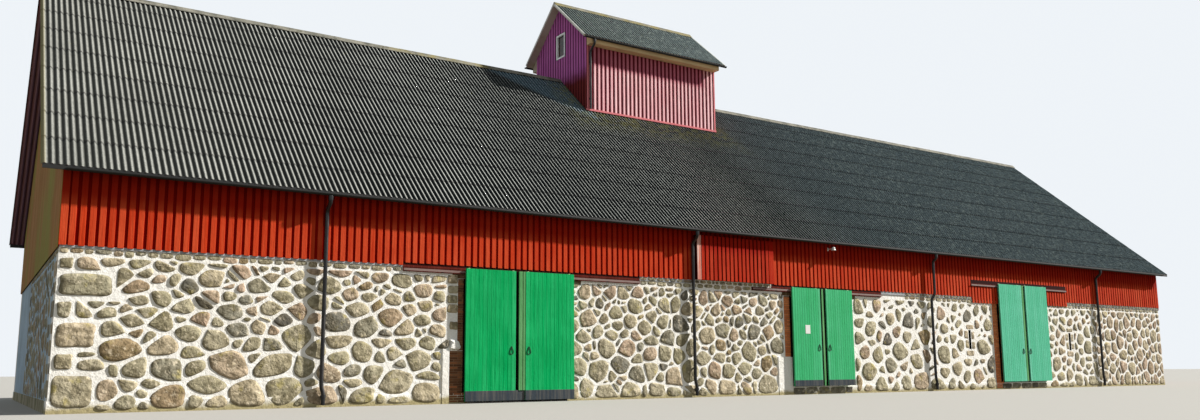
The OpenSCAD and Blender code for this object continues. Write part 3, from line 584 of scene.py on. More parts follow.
smoothPaints = {
    "railSteel": {"fresh": (128, 104, 98), "dull": (92, 62, 54), "roughness": 0.5, "grime": 0.4},
    "tipSteel": {"fresh": (176, 184, 140), "dull": (120, 132, 100), "roughness": 0.5, "grime": 0.35},
    "pipePaint": {"fresh": (24, 24, 26), "dull": (56, 52, 50), "roughness": 0.3, "grime": 0.35},
    "gutterPaint": {"fresh": (16, 18, 17), "dull": (36, 34, 31), "roughness": 0.55, "grime": 0.4},
    "ringPaint": {"fresh": (10, 16, 12), "dull": (30, 32, 26), "roughness": 0.5, "grime": 0.3},
    "whitePaint": {"fresh": (248, 250, 252), "dull": (212, 210, 206), "roughness": 0.45, "grime": 0.25},
    "bargePaint": {"fresh": (206, 204, 196), "dull": (150, 146, 134), "roughness": 0.45, "grime": 0.4},
    "lampEnamel": {"fresh": (230, 230, 226), "dull": (170, 166, 156), "roughness": 0.25, "grime": 0.2},
}


def paintFinish(name, fresh, dull, roughness, grime):
    # smooth paint or painted metal, with grime and a little unevenness
    f = Finish(name, specular=0.4)
    film = f.mask(f.noise(4, detail=6, roughness=0.6), 0.4, 0.66)
    colour = f.mix(f.times(film, grime), tone(*fresh), tone(*dull))
    specks = f.mask(f.noise(56, detail=4), 0.6, 0.7)
    colour = f.mix(f.times(specks, grime * 0.7), colour, tone(*dull))
    shine = f.plus(f.times(film, 0.22), roughness)
    return f.done(colour, shine, f.bump(f.noise(32, detail=4), 0.001))


def soffitFinish():
    # cream eaves, with paler boards under the verges
    f = Finish("creamPaint", roughness=0.6, specular=0.2)
    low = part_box("cupola_side_walls")[0]
    beyond = f.mask(f.axis(0), low.x - 0.002, low.x - 0.012)
    behind = f.mask(f.axis(1), low.y - 0.01, low.y)
    fresh = f.mix(f.times(beyond, behind), tone(216, 184, 138), tone(196, 186, 172))
    film = f.mask(f.noise(5, stretch=(0.3, 1, 1), detail=6, roughness=0.6), 0.4, 0.66)
    colour = f.mix(f.times(film, 0.4), fresh, tone(168, 142, 106))
    return f.done(colour, normal=f.bump(f.noise(40, detail=4), 0.0015))


def glassFinish():
    # the pane's dark tone paints the shaded inside of the cupola, and its reddish patches paint reflections
    f = Finish("paneGlass", roughness=0.15, specular=0.25)
    colour = f.ramp(f.noise(9, detail=4), (0.4, tone(18, 20, 24)), (0.62, tone(66, 40, 38)))
    return f.done(colour, normal=f.bump(f.noise(2.0, detail=2), 0.002))


looks = {
    "footingConcrete": concreteFinish(),
    "brick": brickFinish(),
    "ridgeCement": ridgeFinish(),
    "creamPaint": soffitFinish(),
    "paneGlass": glassFinish(),
}
for finish, plans in ((limeMortarFinish, mortarTones), (fieldstoneFinish, stoneLooks),
                      (boardFinish, boardPaints), (paintFinish, smoothPaints)):
    for name, plan in plans.items():
        looks[name] = finish(name, **plan)
print("finishes ready")


# The frame, the walls' cores and the fixed fittings keep the solids of the part

dressedSolids = {
    "limeMortar": ("front_stone_wall_1", "front_stone_wall_2", "front_stone_wall_3", "front_stone_wall_4",
                   "back_stone_wall", "brick_jambs", "front_footing", "back_footing"),
    "gableMortar": ("gable_stone_walls",),
    "footingConcrete": ("gable_footings",),
    "agedWood": ("door_lintels", "posts", "tie_beams", "loft_floor", "wall_plates", "rafters", "purlins"),
    # the board walls' cores show in the gaps between the boards; their darker tones paint the gaps' shade
    "redUnderBoards": ("front_timber_wall", "front_timber_heads", "back_timber_wall", "right_gable_wall"),
    "hatchUnderBoards": ("loft_hatch",),
    "gableUnderBoards": ("left_gable_wall",),
    "railBoards": ("rail_boards",),
    "railSteel": ("door_rails",),
    # the cupola's cores show in its gaps; their darker tones paint the gaps' shade
    "cupolaUnderBoards": ("cupola_side_walls",),
    "cupolaGableUnderBoards": ("cupola_gable_walls",),
    "whitePaint": ("cupola_windows",),
    "bargePaint": ("cupola_barge_boards",),
    "paneGlass": ("cupola_panes",),
    "creamPaint": ("cupola_eaves",),
    "gutterPaint": ("gutters",),
    "lampEnamel": ("yard_lamp",),
}
for look, solids in dressedSolids.items():
    for name in solids:
        nodes[name].data.materials.clear()
        nodes[name].data.materials.append(looks[look])


# Fieldstones

stoneSettings = {
    "spacing": 0.85,
    "spread": (0.85, 1.15),
    "neighbours": 24,
    "clearance": 0.02,
    "buried": 0.004,
    "proud": (0.010, 0.017),
    "fullProudSize": 0.16,
    "lean": 0.35,
    "crown": (0.85, 1.1),
    "cornerCut": 0.23,
    "wobble": 0.03,
    "fullWobbleHeight": 0.24,
    "ragged": 0.035,
    "finer": 0.075,
    "smallest": 0.035,
    "low": 0.03,
    "cornerShades": (0.15, 0.8),
}
# (radius, tries for each square metre), large ones first
stoneSizes = {
    "cobbles": ((0.135, 5), (0.115, 18), (0.095, 40), (0.076, 40), (0.055, 26), (0.038, 18)),
    "mixed": ((0.16, 3), (0.13, 12), (0.105, 26), (0.082, 30), (0.06, 34), (0.042, 40)),
    "large": ((0.15, 4), (0.125, 16), (0.1, 34), (0.08, 34), (0.055, 24)),
    "wide": ((0.19, 4), (0.155, 12), (0.125, 26), (0.095, 40), (0.065, 30)),
}
quoinSettings = {
    "wideRise": (0.26, 0.31),
    "narrowRise": (0.17, 0.21),
    "wide": (0.42, 0.58),
    "narrow": (0.2, 0.27),
}
topRowSettings = {
    "height": 0.086,
    "heightSpread": (0.7, 1.05),
    "width": (0.09, 0.22),
    "narrowest": 0.05,
    "joint": 0.008,
    "bed": 0.012,
    "proud": (0.006, 0.009),
}
bodyTop = stoneTop - topRowSettings["height"] - topRowSettings["bed"]


def overlaps(outline, block):
    left, right, low, high = block
    return (min(p[0] for p in outline) < right and max(p[0] for p in outline) > left
            and min(p[1] for p in outline) < high and max(p[1] for p in outline) > low)


def inBlock(a, b, block):
    left, right, low, high = block
    reach = stoneSettings["clearance"]
    return left - reach < a < right + reach and low - reach < b < high + reach


def scatterSeeds(rng, bounds, sizes, flat, grow, blocks):
    # grow makes the stones larger near the ground and smaller near the top
    a0, a1, b0, b1 = bounds
    area = (a1 - a0) * (b1 - b0)
    known = np.zeros((int(area * sum(density for _, density in sizes)) + 9, 3))
    count = 0
    for radius, density in sizes:
        for _ in range(int(density * area)):
            a = rng.uniform(a0, a1)
            b = rng.uniform(b0, b1)
            size = radius * rng.uniform(*stoneSettings["spread"])
            size *= 1 + grow * (0.5 - (b - b0) / (b1 - b0))
            if any(inBlock(a, b, block) for block in blocks):
                continue
            near = known[:count]
            gap = stoneSettings["spacing"] * (near[:, 2] + size)
            if count and (((near[:, 0] - a) / flat) ** 2 + (near[:, 1] - b) ** 2 < gap ** 2).any():
                continue
            known[count] = (a, b, size)
            count += 1
    return known[:count]


def clipOutline(outline, normalA, normalB, reach):
    # keeps the part of the outline where a * normalA + b * normalB is at most reach
    kept = []
    for (a0, b0), (a1, b1) in zip(outline, outline[1:] + outline[:1]):
        s0 = a0 * normalA + b0 * normalB - reach
        s1 = a1 * normalA + b1 * normalB - reach
        if s0 <= 0:
            kept.append((a0, b0))
        if s0 * s1 < 0:
            t = s0 / (s0 - s1)
            kept.append((a0 + (a1 - a0) * t, b0 + (b1 - b0) * t))
    return kept


def keepOff(outline, a, b, blocks, mortar):
    # cuts a stone back from blocks that are already laid
    for block in blocks:
        if len(outline) < 3 or not overlaps(outline, block):
            continue
        left, right, low, high = block
        cuts = [(left - a, 1, 0, left - mortar), (a - right, -1, 0, -right - mortar),
                (low - b, 0, 1, low - mortar), (b - high, 0, -1, -high - mortar)]
        outline = clipOutline(outline, *max(cuts)[1:])
    return outline


def stoneOutline(seeds, index, bounds, mortar, flat, blocks):
    # the stone's cell among its neighbours, drawn in by the mortar
    a, b, size = seeds[index]
    a0, a1, b0, b1 = bounds
    outline = [(a0, b0), (a1, b0), (a1, b1), (a0, b1)]
    deltaA = (seeds[:, 0] - a) / flat
    deltaB = seeds[:, 1] - b
    power = deltaA ** 2 + deltaB ** 2 - seeds[:, 2] ** 2
    power[index] = 1e9
    for j in np.argsort(power)[:stoneSettings["neighbours"]]:
        gap = math.hypot(deltaA[j], deltaB[j])
        share = (gap * gap + size * size - seeds[j, 2] ** 2) / (2 * gap)
        normalA = deltaA[j] / gap / flat
        normalB = deltaB[j] / gap
        scale = math.hypot(normalA, normalB)
        reach = (share + a * normalA + b * normalB) / scale - mortar
        outline = clipOutline(outline, normalA / scale, normalB / scale, reach)
        if len(outline) < 3:
            return []
    return keepOff(outline, a, b, blocks, mortar)


def roundOff(outline, rng):
    # corner cutting, twice for a large stone, then a ragged edge
    share = stoneSettings["cornerCut"]
    span = max(p[0] for p in outline) - min(p[0] for p in outline)
    cut = outline
    for _ in range(2 if span > 2 * stoneSettings["finer"] else 1):
        corners = cut
        cut = []
        for (a0, b0), (a1, b1) in zip(corners, corners[1:] + corners[:1]):
            cut.append((a0 + (a1 - a0) * share, b0 + (b1 - b0) * share))
            cut.append((a1 + (a0 - a1) * share, b1 + (b0 - b1) * share))
    ca = sum(p[0] for p in cut) / len(cut)
    cb = sum(p[1] for p in cut) / len(cut)
    ragged = []
    for a, b in cut:
        scale = 1 - rng.uniform(0, stoneSettings["ragged"])
        ragged.append((ca + (a - ca) * scale, cb + (b - cb) * scale))
    return ragged


# rings of a stone from its edge inwards: (size, height, unevenness, share of the joint's darkness left out)
stoneRings = ((1.0, 0.0, 0.0, 0.0), (0.95, 0.5, 0.1, 0.4), (0.8, 0.85, 0.14, 1.0), (0.45, 1.0, 0.2, 1.0))


def addStone(heap, side, base, outline, rng, proud, tint=None):
    # a cushion with a tilted, split face
    count = len(outline)
    ca = sum(p[0] for p in outline) / count
    cb = sum(p[1] for p in outline) / count
    size = math.sqrt(sum((p[0] - ca) ** 2 + (p[1] - cb) ** 2 for p in outline) / count)
    height = rng.uniform(*proud) * min(1.0, 0.5 + size / stoneSettings["fullProudSize"])
    leanA = rng.uniform(-stoneSettings["lean"], stoneSettings["lean"])
    leanB = rng.uniform(-stoneSettings["lean"], stoneSettings["lean"])
    points = []
    rims = []
    for scale, share, jitter, rim in stoneRings:
        for a, b in outline:
            da, db = (a - ca) * scale, (b - cb) * scale
            lean = 1 + (leanA * da + leanB * db) / size
            depth = -stoneSettings["buried"] if share == 0 else height * share * lean
            depth += height * rng.uniform(-jitter, jitter)
            points.append(side.at(ca + da, cb + db, base(cb + db) + depth))
            rims.append(rim)
    points.append(side.at(ca, cb, base(cb) + height * rng.uniform(*stoneSettings["crown"])))
    rims.append(1.0)
    last = (len(stoneRings) - 1) * count
    faces = [tuple(range(count - 1, -1, -1))]
    for i in range(count):
        j = (i + 1) % count
        for ring in range(0, last, count):
            faces.append((ring + i, ring + j, ring + count + j, ring + count + i))
        faces.append((last + i, last + j, last + count))
    heap.add(points, faces, rng.random() if tint is None else tint, rims)


def addBlockStone(heap, side, base, block, rng, mortar, proud, tint=None):
    # a roughly squared stone that fills a block
    left, right, low, high = block
    wobble = stoneSettings["wobble"] * min(1.0, (high - low) / stoneSettings["fullWobbleHeight"])
    middleA = (left + right) / 2
    middleB = (low + high) / 2
    corners = [(left, low), (middleA, low), (right, low), (right, middleB),
               (right, high), (middleA, high), (left, high), (left, middleB)]
    outline = []
    for a, b in corners:
        inA = mortar if a == left else -mortar if a == right else 0
        inB = mortar if b == low else -mortar if b == high else 0
        moveA = math.copysign(rng.uniform(0, wobble), inA) if inA else 0
        moveB = math.copysign(rng.uniform(0, wobble), inB) if inB else 0
        outline.append((a + inA + moveA, b + inB + moveB))
    addStone(heap, side, base, roundOff(outline, rng), rng, proud, tint)


def quoinBlocks(rng, edge, inwards, low, high):
    # long and short corner stones, from the ground up
    blocks = []
    z = low
    wide = True
    while z < high:
        kind = "wide" if wide else "narrow"
        rise = rng.uniform(*quoinSettings[kind + "Rise"])
        if z + rise > high - quoinSettings["narrowRise"][0] / 2:
            rise = high - z
        reach = rng.uniform(*quoinSettings[kind])
        inner = edge + inwards * reach
        blocks.append((min(edge, inner), max(edge, inner), z, z + rise))
        z += rise
        wide = not wide
    return blocks


def layStones(name, side, base, plan, look):
    rng = random.Random(plan["seed"])
    heap = Heap()
    flat = plan.get("flat", 1.25)
    bounds = (plan["from"], plan["to"], plan.get("low", stoneSettings["low"]), bodyTop)
    mortar = plan["mortar"]
    proud = plan.get("proud", stoneSettings["proud"])
    blocks = []
    for edge, inwards in plan.get("quoins", ()):
        blocks += quoinBlocks(rng, edge, inwards, bounds[2], bodyTop)
    for block in blocks:
        addBlockStone(heap, side, base, block, rng, mortar[0], proud)
    for middle in plan.get("slits", ()):
        for block in slitBlocks(middle):
            tint = rng.uniform(*slitSettings["shades"])
            addBlockStone(heap, side, base, block, rng, slitSettings["joint"], slitSettings["proud"], tint)
            blocks.append(block)
        blocks.append(slitGap(middle))
    for reach, low, high in plan.get("cornerStones", ()):
        block = (bounds[0], bounds[0] + reach, low, high)
        tint = rng.uniform(*stoneSettings["cornerShades"])
        addBlockStone(heap, side, base, block, rng, mortar[0], proud, tint)
        blocks.append(block)
    for block in plan.get("edgeStones", ()):
        addBlockStone(heap, side, base, block, rng, plan["edgeJoint"], proud)
        blocks.append(block)
    blocks += plan.get("clear", ())
    sizes = stoneSizes[plan.get("sizes", "mixed")]
    seeds = scatterSeeds(rng, bounds, sizes, flat, plan.get("grow", 0.4), blocks)
    for index in range(len(seeds)):
        outline = stoneOutline(seeds, index, bounds, rng.uniform(*mortar), flat, blocks)
        if len(outline) < 3:
            continue
        spanA = max(p[0] for p in outline) - min(p[0] for p in outline)
        spanB = max(p[1] for p in outline) - min(p[1] for p in outline)
        if min(spanA, spanB) > stoneSettings["smallest"]:
            shade = rng.uniform(*plan.get("shades", (0.0, 1.0)))
            addStone(heap, side, base, roundOff(outline, rng), rng, proud, shade)
    for start, end in plan.get("topRow", ()):
        layTopRow(heap, side, base, rng, start, end)
    makePiece(heap, name, look, sharpAngle=50)


def layTopRow(heap, side, base, rng, start, end):
    # small flat stones right under the boards
    joint = topRowSettings["joint"]
    a = start
    while a < end - topRowSettings["narrowest"]:
        width = min(rng.uniform(*topRowSettings["width"]), end - a)
        low = stoneTop - topRowSettings["height"] * rng.uniform(*topRowSettings["heightSpread"])
        top = stoneTop - joint
        outline = [(a + joint, low), (a + width - joint, low + rng.uniform(-joint, joint)),
                   (a + width - joint, top), (a + joint, top)]
        addStone(heap, side, base, roundOff(outline, rng), rng, topRowSettings["proud"])
        a += width


def footedBase(b):
    # the footing stands a little in front of the stone
    return footingFace if b < footingTop else stoneFace


def gableBase(b):
    return stoneEnd


# left and right edge of each pair of closed leaves, and of its rail, which reaches past them
doorNames = ("door_1", "door_2", "door_3")
railPast = {"door_1": (0.91, 1.265), "door_2": (0.89, 0.89), "door_3": (0.875, 0.875)}
leafEdge = {}
railEnds = {}
for door in doorNames:
    left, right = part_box(f"{door}_left_leaf")[0].x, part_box(f"{door}_right_leaf")[1].x
    leafEdge[door] = (left, right)
    railEnds[door] = (left - railPast[door][0], right + railPast[door][1])
frontWalls = [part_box(f"front_stone_wall_{k}") for k in (1, 2, 3, 4)]
door3Middle = sum(leafEdge["door_3"]) / 2
slitSettings = {
    "low": 0.825,
    "high": 1.215,
    "width": 0.042,
    "inner": 0.15,
    "depth": 0.27,
    "lining": 0.003,
    "margin": 0.014,
    "joint": 0.006,
    "proud": (0.004, 0.006),
    "shades": (0.72, 0.82),
    "split": 0.52,
    "left": door3Middle - 1.85,
    "right": door3Middle + 1.808,
}


def slitGap(middle):
    reach = slitSettings["width"] / 2 + slitSettings["margin"]
    return (middle - reach, middle + reach, slitSettings["low"], slitSettings["high"])


def slitBlocks(middle):
    # flat stones beside, over and under a slit
    left, right, low, high = slitGap(middle)
    joint = slitSettings["joint"]
    split = low + (high - low) * slitSettings["split"]
    return [
        (left - 0.13, left, low, split),
        (left - 0.16, left, split, high),
        (right, right + 0.15, low, split - 0.03),
        (right, right + 0.13, split - 0.03, high),
        (left - 0.09, right + 0.12, high + joint, high + 0.12),
        (left - 0.12, right + 0.1, low - 0.15, low - joint),
    ]


def lineSlits():
    # black reveals and edges of the slits: painted shade inside them
    heap = Heap()
    low, high, lining = slitSettings["low"], slitSettings["high"], slitSettings["lining"]
    outside = stoneFace - stoneSettings["buried"]
    inside = stoneFace - slitSettings["depth"]
    for middle in (slitSettings["left"], slitSettings["right"]):
        for turn in (-1, 1):
            outer = middle + turn * slitSettings["width"] / 2
            inner = middle + turn * slitSettings["inner"] / 2
            profile = [(outer - turn * lining, outside), (outer, outside), (inner, inside),
                       (inner - turn * lining, inside)]
            addPrism(heap, frontSide, profile if turn > 0 else profile[::-1], low, high)
            lip = sorted((outer, outer + turn * slitSettings["margin"]))
            addBoard(heap, frontSide, lip[0], lip[1], low, high, outside, stoneFace + lining)
    makePiece(heap, "slit_reveals", "meetingGap")


# Each stretch of wall: from and to, half the joint width, how flat the stones lie, and what is laid one by
# one
stretchBreak = 9.1
frontStretches = {
    "front_stones_1": {
        "from": frontWalls[0][0].x, "to": -7.335, "mortar": (0.013, 0.021), "flat": 1.32, "grow": 0.55,
        "seed": 11, "sizes": "cobbles", "topRow": ((-stoneEnd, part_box("rail_boards")[0].x),),
        "cornerStones": ((0.45, 0.03, 0.455), (0.24, 0.455, 0.695), (0.45, 0.695, 1.037),
                         (0.19, 1.037, 1.27), (0.59, 1.27, 1.588), (0.17, 1.588, bodyTop)),
        "edgeJoint": 0.007,
        "edgeStones": ((-7.335, -7.155, 1.632, 1.79), (-7.33, -7.15, 1.497, 1.642),
                       (-7.34, -7.155, 1.362, 1.503), (-7.335, -7.15, 1.225, 1.372),
                       (-7.3, -7.15, 0.99, 1.14)),
        "clear": ((-7.47, -7.11, 0.72, 0.88), (-7.39, -7.2, 0.0, 0.72))},
    "front_stones_2": {
        "from": leafEdge["door_1"][1] - 0.02, "to": -0.93, "mortar": (0.011, 0.018), "flat": 1.1,
        "grow": 0.6, "seed": 12, "topRow": ((-4.03, -1.66),), "clear": ((-1.09, -0.7, 0.0, 0.64),)},
    "front_stones_3": {
        "from": leafEdge["door_2"][1] + 0.12, "to": frontWalls[2][1].x - 0.02, "mortar": (0.028, 0.048),
        "flat": 1.05, "grow": 0.5, "seed": 13, "sizes": "wide", "slits": (slitSettings["left"],),
        "topRow": ((2.35, 5.14),)},
    "front_stones_4": {
        "from": leafEdge["door_3"][1] + 0.04, "to": stretchBreak, "mortar": (0.022, 0.036), "flat": 1.0,
        "grow": 0.3, "seed": 14, "sizes": "large", "shades": (0.2, 1.0),
        "slits": (slitSettings["right"],), "topRow": ((7.1, stretchBreak),)},
    "front_stones_5": {
        "from": stretchBreak, "to": frontWalls[3][1].x, "mortar": (0.014, 0.021), "flat": 1.0,
        "grow": 0.2, "seed": 15, "sizes": "large", "shades": (0.7, 0.94),
        "topRow": ((stretchBreak, stoneEnd),)},
}
backStretch = {
    "from": -stoneEnd, "to": stoneEnd, "mortar": (0.011, 0.018), "seed": 21,
    "quoins": ((-stoneEnd, 1), (stoneEnd, -1)), "topRow": ((-stoneEnd, stoneEnd),)}
# the rear part of the left gable is plastered
plasterFrom = 0.95
leftGableStretch = {
    "from": -plasterFrom, "to": stoneFace, "low": footingTop, "mortar": (0.018, 0.032), "seed": 31,
    "sizes": "large", "proud": (0.004, 0.007), "quoins": ((stoneFace, -1),),
    "topRow": ((-plasterFrom, stoneFace),)}
rightGableStretch = {
    "from": -stoneFace, "to": stoneFace, "low": footingTop, "mortar": (0.011, 0.018), "seed": 32,
    "quoins": ((-stoneFace, 1), (stoneFace, -1)), "topRow": ((-stoneFace, stoneFace),)}

# rows of flat stones in front of the timber wall's foot: bed is the thickness of their mortar,
# out how far they stand from the wall, and droop how far their upper corners lie below the row's top
hatchRow = {
    "width": (0.07, 0.16),
    "joint": 0.007,
    "last": 0.046,
    "lift": 0.0,
    "droop": (0.010, 0.014),
    "bed": 0.004,
    "out": 0.003,
    "proud": (0.004, 0.006),
    "inset": 0.004,
    "seed": 16,
}
upperRow = {
    "top": 1.906,
    "leftTop": 1.873,
    "plasterTo": 2.35,
    "width": (0.09, 0.2),
    "joint": 0.007,
    "last": 0.05,
    "lift": 0.002,
    "droop": (0.010, 0.012),
    "bed": 0.0012,
    "out": 0.001,
    "proud": (0.004, 0.006),
    "seed": 17,
}
# how far the mortar of these rows, and a board, reach back into the wall that carries them
bedLap = 0.004
boardLap = 0.001


def addWallBoard(heap, left, right, low, top, proud, lap=boardLap):
    # a board, or a band of mortar, on the front timber wall
    addBoard(heap, frontSide, left, right, low, top, timberFace - lap, timberFace + proud)


def layFlatRow(heap, rng, start, end, top, row):
    x = start
    while x < end - row["last"]:
        x1 = min(x + rng.uniform(*row["width"]), end)
        left, right = x + row["joint"], x1 - row["joint"]
        outline = [(left, stoneTop + row["lift"]), (right, stoneTop), (right, top - row["droop"][1]),
                   (left, top - row["droop"][0])]
        face = timberFace + row["out"]
        addStone(heap, frontSide, lambda b: face, roundOff(outline, rng), rng, row["proud"])
        x = x1


def underHatch():
    # the stonework reaches a little higher below the hatch
    low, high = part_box("loft_hatch")
    bed, heap = Heap(), Heap()
    addWallBoard(bed, low.x, high.x, stoneTop - bedLap, low.z - 0.003, hatchRow["bed"], bedLap)
    makePiece(bed, "mortar_under_hatch", "limeMortar")
    rng = random.Random(hatchRow["seed"])
    layFlatRow(heap, rng, low.x + hatchRow["inset"], high.x - hatchRow["inset"], low.z, hatchRow)
    makePiece(heap, "stones_under_hatch", "fieldstone")


def addUpperRow():
    # the stonework runs a little way up in front of the timber wall's foot, up to the feet of the boards;
    # its mortar and stones are darker: painted shade of the boards above
    bed, heap = Heap(), Heap()
    rng = random.Random(upperRow["seed"])
    low = stoneTop - bedLap
    addWallBoard(bed, -stoneEnd, railEnds["door_1"][0], low, upperRow["leftTop"], upperRow["bed"], bedLap)
    pastDoor1, pastDoor2, pastDoor3 = [railEnds[door][1] for door in doorNames]
    for left, laidFrom, right in ((pastDoor1, pastDoor1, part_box("loft_hatch")[0].x),
                                  (pastDoor2, upperRow["plasterTo"], railEnds["door_3"][0]),
                                  (pastDoor3, pastDoor3, stoneEnd)):
        addWallBoard(bed, left, right, low, upperRow["top"], upperRow["bed"], bedLap)
        layFlatRow(heap, rng, laidFrom, right, upperRow["top"], upperRow)
    makePiece(bed, "mortar_upper_row", "dampMortar")
    makePiece(heap, "stones_upper_row", "dampFieldstone")


for name, plan in frontStretches.items():
    layStones(name, frontSide, footedBase, plan, "fieldstone")
layStones("back_stones", backSide, footedBase, backStretch, "fieldstone")
lineSlits()
underHatch()
addUpperRow()
layStones("left_gable_stones", leftSide, gableBase, leftGableStretch, "shadyFieldstone")
layStones("right_gable_stones", rightSide, gableBase, rightGableStretch, "sunnyFieldstone")
print("fieldstones laid")


# Roof

# thickness of the solid sheets, square to the slope, and of their seat
roofThick = 0.028
cupolaRoofThick = 0.022
sheetGap = 0.0285


def slopeLines(node, depth, ridgeGap=0.012):
    # run, slope angle and ridge height of a pair of roof slopes
    low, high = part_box(node)
    angle = 0.7
    # each round comes closer, and eight are enough
    for _ in range(8):
        eave = low.z + depth * math.cos(angle)
        angle = math.atan((high.z - eave) / (high.y - ridgeGap / 2))
    return high.y, angle, high.z + ridgeGap / 2 * math.tan(angle)


mainLines = slopeLines("roof_right", roofThick)
cupolaLines = slopeLines("cupola_roof", cupolaRoofThick)
roofRun, roofAngle, ridgeHeight = mainLines
cupolaRun, cupolaAngle, cupolaHeight = cupolaLines


def roofTop(y):
    return ridgeHeight - abs(y) * math.tan(roofAngle)


def slopeSide(ridge, angle, back):
    # a runs along the ridge, b up the slope with 0 at the ridge, depth square to it
    turn = -1 if back else 1
    return Side((0, 0, ridge), xAxis * turn, Vector((0, math.cos(angle) * turn, math.sin(angle))))


# wave, pitch and lap: crest to crest, row to row, and how far a row reaches under the next;
# lean shifts the troughs' moss and painted shade onto the flanks that face the left gable, away from the
# sun, and the sheets end just inside the cupola
sheetSettings = {
    "wave": 0.073,
    "steps": 6,
    "height": 0.0245,
    "thickness": 0.0035,
    "pitch": 0.62,
    "lift": 0.004,
    "lean": 0.11,
    "lap": 0.07,
    "shortest": 0.02,
    "ridgeGap": 0.006,
    "underCupola": 0.06,
}
cupolaSheets = dict(sheetSettings, height=0.015, lift=0.003, lean=0.08, lap=0.05)
laps = {"pitch": sheetSettings["pitch"], "run": roofRun, "slope": math.cos(roofAngle)}
looks["corrugatedSheet"] = sheetFinish("corrugatedSheet", laps=laps, **sheetTones["corrugatedSheet"])
looks["cupolaSheet"] = sheetFinish("cupolaSheet", **sheetTones["cupolaSheet"])


def addSheetRow(heap, side, a0, a1, b0, b1, settings, turn):
    # one lapped row of corrugated sheets, with its upper end tucked under the next row;
    # the flanks towards the left gable, away from the sun, carry moss and painted shade
    count = max(2, round((a1 - a0) / settings["wave"] * settings["steps"]))
    points = []
    tints = []
    rims = []
    for b, lift in ((b0, 0.0), (b1, -settings["lift"])):
        for under in (0.0, settings["thickness"]):
            for i in range(count + 1):
                a = a0 + (a1 - a0) * i / count
                crest = 0.5 + 0.5 * math.cos(2 * math.pi * a / settings["wave"])
                points.append(side.at(a, b, lift - settings["height"] * (1 - crest) - under))
                troughDirtAndShade = 0.5 + 0.5 * math.cos(2 * math.pi * (a / settings["wave"] - turn * settings["lean"]))
                tints.append(troughDirtAndShade if under == 0 else 0.45 + 0.5 * crest)
                rims.append(1.0 if under == 0 else 0.0)
    line = count + 1
    lowTop, lowUnder, highTop, highUnder = 0, line, 2 * line, 3 * line
    faces = []
    for i in range(count):
        j = i + 1
        faces.append((lowTop + i, lowTop + j, highTop + j, highTop + i))
        faces.append((lowUnder + j, lowUnder + i, highUnder + i, highUnder + j))
        faces.append((lowUnder + i, lowUnder + j, lowTop + j, lowTop + i))
        faces.append((highTop + i, highTop + j, highUnder + j, highUnder + i))
    faces.append((lowUnder, lowTop, highTop, highUnder))
    faces.append((lowTop + count, lowUnder + count, highUnder + count, highTop + count))
    heap.add(points, faces, tints, rims)


def corrugate(name, nodeName, lines, highY, settings, look):
    # rows of sheets on both slopes, from the eaves up to highY from the ridge's middle
    run, angle, ridge = lines
    low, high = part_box(nodeName)
    heap = Heap()
    top = -highY / math.cos(angle)
    for back in (False, True):
        side = slopeSide(ridge, angle, back)
        a0, a1 = (-high.x, -low.x) if back else (low.x, high.x)
        turn = -1 if back else 1
        b = -run / math.cos(angle)
        while b < top - settings["shortest"]:
            end = min(b + settings["pitch"] + settings["lap"], top)
            addSheetRow(heap, side, a0, a1, b, end, settings, turn)
            b += settings["pitch"]
    piece = makePiece(heap, name, look, sharpAngle=50)
    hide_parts(nodeName)


cupolaLow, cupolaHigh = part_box("cupola_gable_walls")
shaftHalf = cupolaHigh.y - sheetSettings["underCupola"]
atRidge = sheetSettings["ridgeGap"]
for name, nodeName, highY in (("left_sheets", "roof_left", atRidge), ("right_sheets", "roof_right", atRidge),
                              ("sheets_below_cupola", "roof_below_cupola", shaftHalf)):
    corrugate(name, nodeName, mainLines, highY, sheetSettings, "corrugatedSheet")
corrugate("cupola_sheets", "cupola_roof", cupolaLines, atRidge, cupolaSheets, "cupolaSheet")

capSettings = {
    "wing": 0.102,
    "thick": 0.007,
    "roll": 0.022,
    "rollSteps": 8,
    "length": 1.16,
    "overlap": 0.03,
    "lift": 0.0025,
}
# along the ridge: a is measured towards the front, depth upwards, b to the right
ridgeSide = Side((0, 0, 0), -yAxis, xAxis)


def capProfile(top):
    # two wings and a roll over them
    slope = math.tan(roofAngle)
    wing = capSettings["wing"] * math.cos(roofAngle)
    rise = capSettings["thick"] / math.cos(roofAngle)
    roll = capSettings["roll"]
    profile = [(-wing, top - wing * slope), (-wing, top - wing * slope + rise)]
    for k in range(capSettings["rollSteps"] + 1):
        angle = math.pi * (1 - k / capSettings["rollSteps"])
        profile.append((roll * math.cos(angle), top + roll * math.sin(angle)))
    return profile + [(wing, top - wing * slope + rise), (wing, top - wing * slope), (0, top)]


def layRidgeCaps():
    heap = Heap()
    low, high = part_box("ridge_caps")
    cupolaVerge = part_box("cupola_roof")
    for x0, x1, top in ((low.x, cupolaLow.x, ridgeHeight), (cupolaHigh.x, high.x, ridgeHeight),
                        (cupolaVerge[0].x, cupolaVerge[1].x, cupolaHeight)):
        count = max(1, round((x1 - x0) / capSettings["length"]))
        length = (x1 - x0) / count
        for k in range(count):
            start, end = x0 + k * length, x0 + (k + 1) * length
            raised = k % 2
            if raised:
                start, end = start - capSettings["overlap"], min(end + capSettings["overlap"], x1)
            addPrism(heap, ridgeSide, capProfile(top + raised * capSettings["lift"]), start, end)
    piece = makePiece(heap, "lapped_ridge_caps", "ridgeCement", sharpAngle=40)
    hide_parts("ridge_caps")


layRidgeCaps()
print("roof sheeted")


# Board cladding

